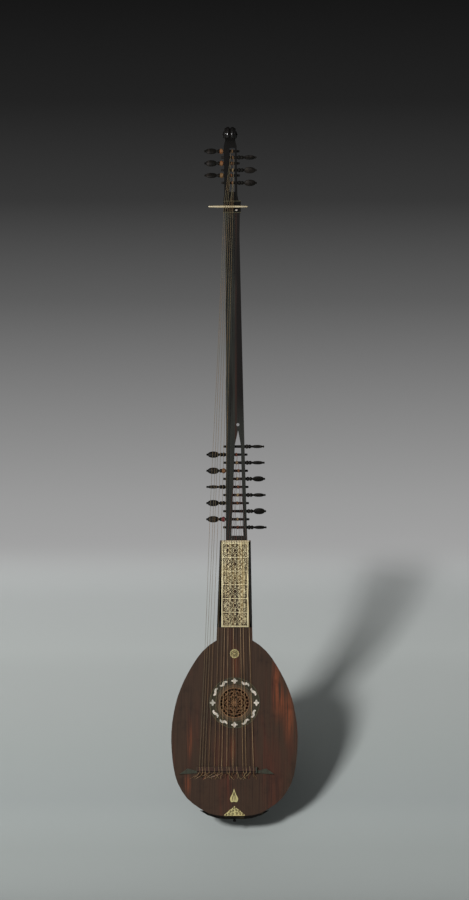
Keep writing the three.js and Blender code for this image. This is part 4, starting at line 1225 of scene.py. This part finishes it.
class THEORBO_OT_long_neck(bpy.types.Operator):
    """Second neck, collar, upper nut, upper peg-box and scroll"""

    bl_idname = "theorbo.long_neck"
    bl_label = "Second neck and head"

    def execute(self, context):
        sizes = context.scene.theorbo_neckwork
        carry("extension", "long_neck", "full")
        box = carry("upper_pegbox", "head")
        self.upper_nut()
        self.collar(sizes)
        self.scroll_ridges(sizes, box.data)
        return {"FINISHED"}

    def upper_nut(self):
        """A half-round bar that narrows towards both ends."""
        low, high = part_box("upper_nut")
        middle = (low + high) / 2
        tall = (high.z - low.z) / 2
        half = (high.x - low.x) / 2
        points = [Vector((middle.x + along * half, high.y - tall, middle.z)) for along, _ in nut_shares]
        work = bmesh.new()
        tube_into(work, points, [tall * thick for _, thick in nut_shares], KNOB_SIDES)
        formed("upper_nut_bar", work, "old_ivory", nodes=("upper_nut",))

    def collar(self, sizes):
        """Light bands round the collar and a pearl lozenge below the nut."""
        corners = spots("upper_pegbox")
        foot = corners[0].z
        low, high = extent([corner for corner in corners if corner.z < foot + SEAM_REACH])
        nut_low, nut_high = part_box("upper_nut")
        top = nut_low.z + nut_high.z - foot
        ring = rectangle(low.x, high.x, low.y, high.y)
        heights = (foot + sizes.band_radius, top - sizes.band_radius)
        bands = [[Vector((*point, height)) for point in ring + ring[:1]] for height in heights]
        corded("collar_bands", bands, sizes.band_radius, STRING_SIDES, "ring_line")
        width = sizes.lozenge_width / 2
        x, z = (low.x + 3 * high.x) / 4, (foot + nut_low.z) / 2
        outline = [(x - width, z), (x, z + width / 2), (x + width, z), (x, z - width / 2)]
        rise = sizes.line_radius
        work = bmesh.new()
        plate_into(work, outline, low.y + rise, low.y - rise, rise / 2)
        formed("collar_lozenge", work, "pearl")

    def scroll_ridges(self, sizes, head):
        """Two rolls over the scroll, and on each side a ridge that winds into the eye and a button in it."""
        center_z = HEAD_SCROLL_CENTER_Z
        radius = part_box("upper_pegbox")[1].z - center_z
        top = [corner for corner in spots("upper_pegbox") if corner.z > center_z + radius * SCROLL_TOP_SHARE]
        low, high = extent(top)
        middle = Vector(((low.x + high.x) / 2, (low.y + high.y) / 2, center_z))
        half_waist = (high.x - low.x) / 2
        groove = radius * ROLL_GROOVE_SHARE
        for corner in head.vertices:
            arm = Vector((corner.co.y - middle.y, corner.co.z - center_z))
            if arm.y > -radius / 2 and arm.length > groove:
                arm *= groove / arm.length
                corner.co = (corner.co.x, middle.y + arm.x, center_z + arm.y)

        def wound(across, reach, angle):
            return middle + Vector((across, -reach * math.sin(angle), reach * math.cos(angle)))

        rolls = bmesh.new()
        volutes = bmesh.new()
        thick = half_waist / 2
        full = [1.0] * (ROLL_STEPS + 1 - 2 * len(roll_end_shares))
        radii = [thick * width for width in roll_end_shares + full + roll_end_shares[::-1]]
        ridge = sizes.volute_radius
        rise = VOLUTE_RISE + ridge
        eye = VOLUTE_EYE_RADIUS
        button = scaled(button_shares, eye, 0, rise)
        shares = [k / VOLUTE_STEPS for k in range(VOLUTE_STEPS + 1)]
        for side in (1, -1):
            angles = [FULL_TURN * ROLL_SWEEP * (0.5 - k / ROLL_STEPS) for k in range(ROLL_STEPS + 1)]
            points = [wound(side * thick, radius - thick, angle) for angle in angles]
            tube_into(rolls, points, radii, TURNED_SIDES)
            points = []
            for along in shares:
                across = side * (half_waist - ridge * RIDGE_SINK_SHARE + along * VOLUTE_RISE)
                reach = (radius - ridge) * (1 - along) + eye * along
                points.append(wound(across, reach, FULL_TURN * (VOLUTE_START + VOLUTE_TURNS * along)))
            widths = [ridge * (1 - (1 - VOLUTE_END_SHARE) * along) for along in shares]
            tube_into(volutes, points, widths, RIDGE_SIDES)
            turned_into(volutes, button, wound(side * (half_waist - ridge), 0, 0), (side, 0, 0), HEAD_SIDES)
        formed("scroll_rolls", rolls, "scroll")
        formed("scroll_volutes", volutes, "scroll")


# How far each head stands turned from lying flat to the front, in degrees, from the nut upwards.
head_turns = {
    "lower_peg_": (75, 10, 20, 15, 70, 80, 40, 5, 75, 12, 85),
    "upper_peg_": (15, 40, 20, 10, 60, 30),
}
# Windings and spare ends of another colour than plain gut.
winding_finishes = {
    **dict.fromkeys(("lower_peg_1", "lower_peg_4", "lower_peg_6", "lower_peg_10"), "gut_red"),
    **dict.fromkeys(("lower_peg_8", *("upper_peg_%d" % k for k in (1, 2, 4, 5, 6))), "gut_orange"),
}
spare_end_finishes = {
    **dict.fromkeys(("upper_peg_2", "upper_peg_4", "upper_peg_6", "lower_peg_8"), "gut_orange"),
    "lower_peg_2": "gut_pink",
}
# Strings of another colour than plain gut. The dark ones are partly real dark gut and partly painted shadow,
# standing for the shadow lines that strings cast on the ivory panel.
string_finishes = dict.fromkeys(("stopped_string_3", "stopped_string_5", "stopped_string_8"), "gut_dark")
# How far the bass strings sway, by their number from the bass side.
sway_shares = {0: 1.0, 1: -0.7, 3: 0.6}
head_shares = [(0.02, 0), (0.5, 0.03), (0.88, 0.18), (1, 0.42), (0.95, 0.62)]
head_shares += [(0.7, 0.8), (0.36, 0.88), (0.2, 0.9), (0.02, 0.92)]
# The round knob at the end of a peg's head, in radii and reaches as shares of the head's length.
knob_shares = [(0.005, 0.86), (0.06, 0.87), (0.088, 0.905), (0.092, 0.95), (0.06, 0.99), (0.005, 1)]
# Reach of a peg's head from the outer wall, and of its thin end past the inner wall.
PEG_HEAD_REACH = 0.056
PEG_TIP_REACH = 0.008
PEG_POINT_RADIUS = 0.0002
# A head's thickness as a share of its width.
HEAD_FLATNESS = 0.5
# How far a string's end may lie from its peg's middle, and its winding's reach along and round the shaft.
STRING_REACH = 0.0085
WINDING_REACH = 0.006
WINDING_RADIUS = 0.0046
TURN_STEPS = 16
BASS_TURNS = 2
STOPPED_TURNS = 3
END_TURN = 0.125
SPARE_START = 0.0022
SPARE_TURNS = 7
SPARE_BULGE = 0.0024
SPARE_THICKNESS = 1.3
STRING_STEPS = 40
# Waves of a slack string from the bridge to the nut.
SWAY_WAVES = 1.5


def peg_profile(sizes, span):
    """Radius and reach of a peg's round part, from its tip to the foot of its head; 0 is the outer wall."""
    bead = sizes.bead_radius
    shaft = sizes.shaft_radius
    neck = shaft * 0.86
    second = bead * 2.25
    return [
        (PEG_POINT_RADIUS, -span - PEG_TIP_REACH),
        (shaft * 0.7, -span - PEG_TIP_REACH + PEG_POINT_RADIUS),
        (shaft * 0.8, -span - 0.75 * PEG_TIP_REACH),
        (shaft, SEAM_REACH),
        (shaft, bead * 0.5),
        (bead * 0.95, bead * 0.64),
        (bead * 0.95, bead * 1.36),
        (neck, bead * 1.62),
        (bead * 0.86, second - bead * 0.3),
        (bead * 0.86, second + bead * 0.3),
        (neck * 0.9, second + bead * 0.62),
        (neck * 0.8, second + bead * 1.2),
        (neck, second + bead * 1.5),
        (PEG_POINT_RADIUS, second + bead * 1.9),
    ]


def peg_place(peg_name):
    """Where a peg's middle line meets the outer wall."""
    return Vector(next(joint["pos_m"] for joint in frame["joints"] if joint["child"] == peg_name))


def string_radius(sizes, string):
    """Half the thickness of a string."""
    return sizes.diapason_radius if string.startswith("diapason_") else sizes.stopped_radius


def string_end(sizes, peg_name):
    """The string that ends at a peg, if there is one, the place where it meets its coil, and its turns."""
    place = peg_place(peg_name)
    ways = [(string_line(name)[2] - place, name) for name in string_names()]
    far, string = min((math.hypot(way.y, way.z), name) for way, name in ways)
    if far > STRING_REACH:
        return None, None, None
    _, nut, end = string_line(string)
    radius = string_radius(sizes, string)
    coil = sizes.shaft_radius + radius + sizes.coil_gap
    away = place - nut
    angle = math.atan2(away.y, away.z) - math.asin(coil / math.hypot(away.y, away.z))
    # Turns run from the string towards the middle of the slot, as the CAD winding does.
    near = [corner for corner in spots(peg_name) if abs(corner.x - end.x) < WINDING_REACH]
    near = [corner.x for corner in near if (corner - place).yz.length > WINDING_RADIUS]
    pitch = (2 * radius + sizes.turn_gap) * (1 if near and sum(near) / len(near) > end.x else -1)

    def at(reach, out, turned):
        turn = angle + FULL_TURN * turned
        return Vector((end.x + reach, place.y - out * math.cos(turn), place.z + out * math.sin(turn)))

    turns = BASS_TURNS if string.startswith("diapason_") else STOPPED_TURNS
    steps = [k / TURN_STEPS for k in range(turns * TURN_STEPS + 1)]
    line = [at(pitch * (1 + turned), coil, turned) for turned in steps]
    line.append(at(pitch * (1 + turns), sizes.shaft_radius - radius, turns + END_TURN))
    return string, at(0, coil, 0), line


class THEORBO_OT_pegs(bpy.types.Operator):
    """Turned pegs and the string wound on each"""

    bl_idname = "theorbo.pegs"
    bl_label = "Pegs and windings"

    def execute(self, context):
        sizes = context.scene.theorbo_stringwork
        for prefix, turns in head_turns.items():
            for k, turn in enumerate(turns):
                name = prefix + str(k + 1)
                self.peg(sizes, name, math.radians(turn))
                string, _, line = string_end(sizes, name)
                if string:
                    finish = winding_finishes.get(name, "gut")
                    radius = string_radius(sizes, string)
                    corded(name + "_winding", [line], radius, STRING_SIDES, finish, name)
        return {"FINISHED"}

    def peg(self, sizes, name, turn):
        """One peg: beads, a flat leaf-shaped head with a knob, and the shaft through both walls."""
        place = peg_place(name)
        low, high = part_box(name)
        ends = (high.x - place.x, place.x - low.x)
        side = 1 if abs(ends[0] - PEG_HEAD_REACH) < abs(ends[1] - PEG_HEAD_REACH) else -1
        span = ends[side > 0] - PEG_TIP_REACH
        work = bmesh.new()
        axis = (side, 0, 0)
        turned_into(work, rounded(peg_profile(sizes, span)), place, axis, TURNED_SIDES)
        tall = sizes.head_length
        start = PEG_HEAD_REACH - tall
        head = scaled(head_shares, sizes.head_half_width, start, tall)
        turned_into(work, head, place, axis, HEAD_SIDES, HEAD_FLATNESS, turn)
        turned_into(work, scaled(knob_shares, tall, start, tall), place, axis, KNOB_SIDES)
        formed(name + "_turned", work, "peg", name, (name,))
        if name in spare_end_finishes:
            self.spare_end(sizes, name, place, side)

    def spare_end(self, sizes, name, place, side):
        """The string's loose end, wound over the beads outside the wall."""
        radius = sizes.stopped_radius * SPARE_THICKNESS
        line = []
        for k in range(SPARE_TURNS * TURN_STEPS + 1):
            turned = k / TURN_STEPS
            reach = side * (SPARE_START + turned * 2 * radius)
            lift = sizes.shaft_radius + radius + SPARE_BULGE * math.sin(math.pi * turned / SPARE_TURNS)
            line.append(place + Vector((reach, *around((0, 0), lift, FULL_TURN * turned))))
        corded(name + "_spare_end", [line], radius, LINE_SIDES, spare_end_finishes[name], name)


class THEORBO_OT_strings(bpy.types.Operator):
    """The free lengths of the strings"""

    bl_idname = "theorbo.strings"
    bl_label = "Strings"

    def execute(self, context):
        sizes = context.scene.theorbo_stringwork
        ends = dict(string_end(sizes, joint["child"])[:2] for joint in frame["joints"])
        for number, name in enumerate(string_names()):
            foot, nut, end = string_line(name)
            radius = string_radius(sizes, name)
            sway = sizes.slack * sway_shares.get(number, 0.0)
            line = []
            for k in range(STRING_STEPS + 1):
                along = k / STRING_STEPS
                wave = math.sin(FULL_TURN * SWAY_WAVES * along + number)
                wander = sway * math.sin(math.pi * along) * wave
                line.append(foot.lerp(nut, along) + Vector((wander, 0, 0)))
            top = ends.get(name, end)
            if name.startswith("diapason_"):
                line.append(top)
                finish = "bass_gut"
            else:
                corded(name + "_top", [[line[-1], top]], radius, STRING_SIDES, "gut_wine")
                finish = string_finishes.get(name, "gut")
            corded(name + "_gut", [line], radius, STRING_SIDES, finish, nodes=(name,))
        return {"FINISHED"}


# Studio


class TheorboStage(bpy.types.PropertyGroup):
    """Camera, light and backdrop."""

    lens: length("Lens", 0.135, "Focal length of the camera")
    view_height: length("View height", 2.549, "Height that the picture spans at the instrument")
    view_center_z: length("View centre", 1.0535, "Height of the picture's middle")
    wall_height: length("Wall height", 6.0, "Height of the backdrop")
    floor_size: length("Floor size", 14.0, "Half size of the floor")
    key_power: power("Key light", 900, "Power of the key light")
    fill_power: power("Fill light", 10, "Power of the soft light above")
    sky: FloatProperty(name="Sky", description="Strength of the light from all round", default=0.1, min=0)


MILLIMETRES = 1000
SENSOR_WIDTH = 0.036
FAR_CLIP = 100
FLOOR_DROP = 0.004
WHITE = (1, 1, 1)
FIBRE_STRENGTH = 0.006
FLOOR_TONE = "a2a4a4"
# Depth behind the soundboard and height of the bends in the paper that the instrument hangs in front of.
sweep_points = [(-0.9, -0.2), (-0.1, -0.2), (0.28, 0.2), (0.98, 0.575), (1.08, 0.85), (1.08, 1.5)]
SWEEP_ROUNDS = 4
# Between these shares of the picture's height the paper goes over to its own even tone, where shadows end.
EVEN_TONE_SHARES = (0.345, 0.4)
# Greys of the lit paper and of its even tone, by the share of the picture's height.
lit_tones = {0.011: "a5aaa8", 0.056: "9ba09e", 0.111: "989d9c", 0.167: "a1a6a4"}
lit_tones.update({0.222: "abafad", 0.278: "b4b8b6", 0.333: "adb0af", 0.42: "adafaf"})
even_tones = {0.33: "aaaaaa", 0.444: "9a9a9a", 0.556: "808080", 0.667: "5c5c5c"}
even_tones.update({0.778: "373737", 0.889: "222222", 1.0: "171717"})
# Each lamp: its name, its place, what it points at, its width and height, and the setting of its power.
lamps = [
    ("key", (-3.9, -7.8, 3.0), (1.2, 0, 0.7), 1.4, 1.4, "key_power"),
    ("soft", (-1.2, -3.5, 4.2), (0, 0, 1), 3, 2, "fill_power"),
]


def tone_scale(made, share_up, tones):
    """A run of greys along the picture's height."""
    bands = add_node(made.tree, "ShaderNodeValToRGB", {"Fac": share_up})
    stops = bands.color_ramp.elements
    for number, (position, code) in enumerate(tones.items()):
        stop = stops[number] if number < 2 else stops.new(position)
        stop.position = position
        stop.color = (*tone(code), 1)
    return bands.outputs["Color"]


def camera_distance(stage):
    """How far the camera stands off, so that the picture spans its height."""
    return stage.view_height * stage.lens / SENSOR_WIDTH


def backdrop_finish(stage):
    """Plain paper, pale at the foot and dark above, clear from behind."""
    made = Finish("backdrop_paper", WHITE, 0.9, specular=0.0)
    distance = camera_distance(stage)
    away = made.math("ADD", made.axis("Y"), distance)
    rise = made.math("DIVIDE", made.math("SUBTRACT", made.axis("Z"), stage.view_center_z), away)
    share_up = made.math("ADD", made.math("MULTIPLY", rise, distance / stage.view_height), 0.5)
    made.colour = tone_scale(made, share_up, lit_tones)
    made.lay(WHITE, FIBRE_STRENGTH, made.marks("paper"))
    rays = add_node(made.tree, "ShaderNodeLightPath").outputs
    seen = rays["Is Camera Ray"]
    for kind in ("Is Glossy Ray", "Is Transmission Ray"):
        seen = made.math("MAXIMUM", seen, rays[kind])
    upper = made.math("MULTIPLY", made.ramp(share_up, *EVEN_TONE_SHARES), seen)
    glow = made.node("ShaderNodeEmission", "Emission", {"Color": tone_scale(made, share_up, even_tones)})
    front = made.node("ShaderNodeMixShader", "Shader", {0: upper, 1: made.shader.outputs["BSDF"], 2: glow})
    behind = made.node("ShaderNodeNewGeometry", "Backfacing")
    clear = made.node("ShaderNodeBsdfTransparent", "BSDF")
    both = made.node("ShaderNodeMixShader", "Shader", {0: behind, 1: front, 2: clear})
    made.tree.links.new(both, made.tree.nodes["Material Output"].inputs["Surface"])
    return made.coloured()


def floor_finish():
    """Plain grey paper."""
    made = Finish("floor_paper", tone(FLOOR_TONE), 0.85, specular=0.1)
    made.lay(WHITE, FIBRE_STRENGTH, made.marks("paper"))
    return made.coloured()


class THEORBO_OT_stage(bpy.types.Operator):
    """Floor, backdrop, lights and camera"""

    bl_idname = "theorbo.stage"
    bl_label = "Studio"

    def execute(self, context):
        stage = context.scene.theorbo_stage
        half = stage.floor_size
        level = sweep_points[0][1]
        bends = rounded(sweep_points, SWEEP_ROUNDS)
        wall = [(-half, level), *bends, (bends[-1][0], stage.wall_height)]
        self.sheet("backdrop", wall, half, backdrop_finish(stage))
        self.sheet("floor", [(y, level - FLOOR_DROP) for y in (-half, half)], half, floor_finish())
        self.lights(context.scene, stage)
        self.camera(context.scene, stage)
        context.scene.view_settings.view_transform = "Standard"
        return {"FINISHED"}

    def sheet(self, name, points, half, material):
        """A strip of paper that follows points in Y and Z."""
        corners = [Vector((x, *point)) for point in points for x in (-half, half)]
        faces = [(2 * k, 2 * k + 1, 2 * k + 3, 2 * k + 2) for k in range(len(points) - 1)]
        mesh = bpy.data.meshes.new(name)
        mesh.from_pydata(corners, [], faces)
        mesh.polygons.foreach_set("use_smooth", [True] * len(faces))
        mesh.materials.append(material)
        placed(name, mesh)

    def lights(self, scene, stage):
        """Faint light from all round, the key light and the soft light."""
        world = bpy.data.worlds.new("studio_air")
        world.use_nodes = True
        back = world.node_tree.nodes["Background"]
        back.inputs["Color"].default_value = (*WHITE, 1)
        back.inputs["Strength"].default_value = stage.sky
        scene.world = world
        for name, place, target, width, height, setting in lamps:
            data = bpy.data.lights.new(name, "AREA")
            data.shape = "RECTANGLE"
            data.size = width
            data.size_y = height
            data.energy = getattr(stage, setting)
            made = placed(name, data)
            made.location = place
            made.rotation_euler = (Vector(target) - Vector(place)).to_track_quat("-Z", "Y").to_euler()

    def camera(self, scene, stage):
        """The camera, level and square to the soundboard."""
        data = bpy.data.cameras.new("camera")
        data.lens = stage.lens * MILLIMETRES
        data.sensor_width = SENSOR_WIDTH * MILLIMETRES
        data.clip_end = FAR_CLIP
        made = placed("camera", data)
        made.location = (0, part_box("soundboard")[0].y - camera_distance(stage), stage.view_center_z)
        made.rotation_euler = (math.pi / 2, 0, 0)
        scene.camera = made


class THEORBO_OT_finishes(bpy.types.Operator):
    """Makes every finish and node tree that the pieces use"""

    bl_idname = "theorbo.finishes"
    bl_label = "Finishes"

    def execute(self, context):
        finishes.update(make_finishes(context.scene.theorbo_finishes))
        trees["cord"] = cord_tree()
        trees["copies"] = copies_tree()
        return {"FINISHED"}


class THEORBO_PT_panel(bpy.types.Panel):
    bl_label = "Theorbo"
    bl_space_type = "VIEW_3D"
    bl_region_type = "UI"
    bl_category = "Theorbo"

    def draw(self, context):
        for operator in operators:
            self.layout.operator(operator.bl_idname)
        for name in groups:
            settings = getattr(context.scene, name)
            box = self.layout.box()
            for key in settings.__annotations__:
                box.prop(settings, key)


groups = {
    "theorbo_finishes": TheorboFinishes,
    "theorbo_inlays": TheorboInlays,
    "theorbo_stringwork": TheorboStringwork,
    "theorbo_neckwork": TheorboNeckwork,
    "theorbo_stage": TheorboStage,
}
operators = [
    THEORBO_OT_finishes,
    THEORBO_OT_stage,
    THEORBO_OT_body,
    THEORBO_OT_rose,
    THEORBO_OT_inlays,
    THEORBO_OT_bridge,
    THEORBO_OT_neck,
    THEORBO_OT_long_neck,
    THEORBO_OT_pegs,
    THEORBO_OT_strings,
]
classes = [*groups.values(), *operators, THEORBO_PT_panel]


def register():
    for each in classes:
        bpy.utils.register_class(each)
    for name, group in groups.items():
        setattr(bpy.types.Scene, name, PointerProperty(type=group))


def unregister():
    for name in groups:
        delattr(bpy.types.Scene, name)
    for each in classes:
        bpy.utils.unregister_class(each)


def main():
    register()
    for operator in operators:
        family, name = operator.bl_idname.split(".")
        getattr(getattr(bpy.ops, family), name)()


if __name__ == "__main__":
    main()
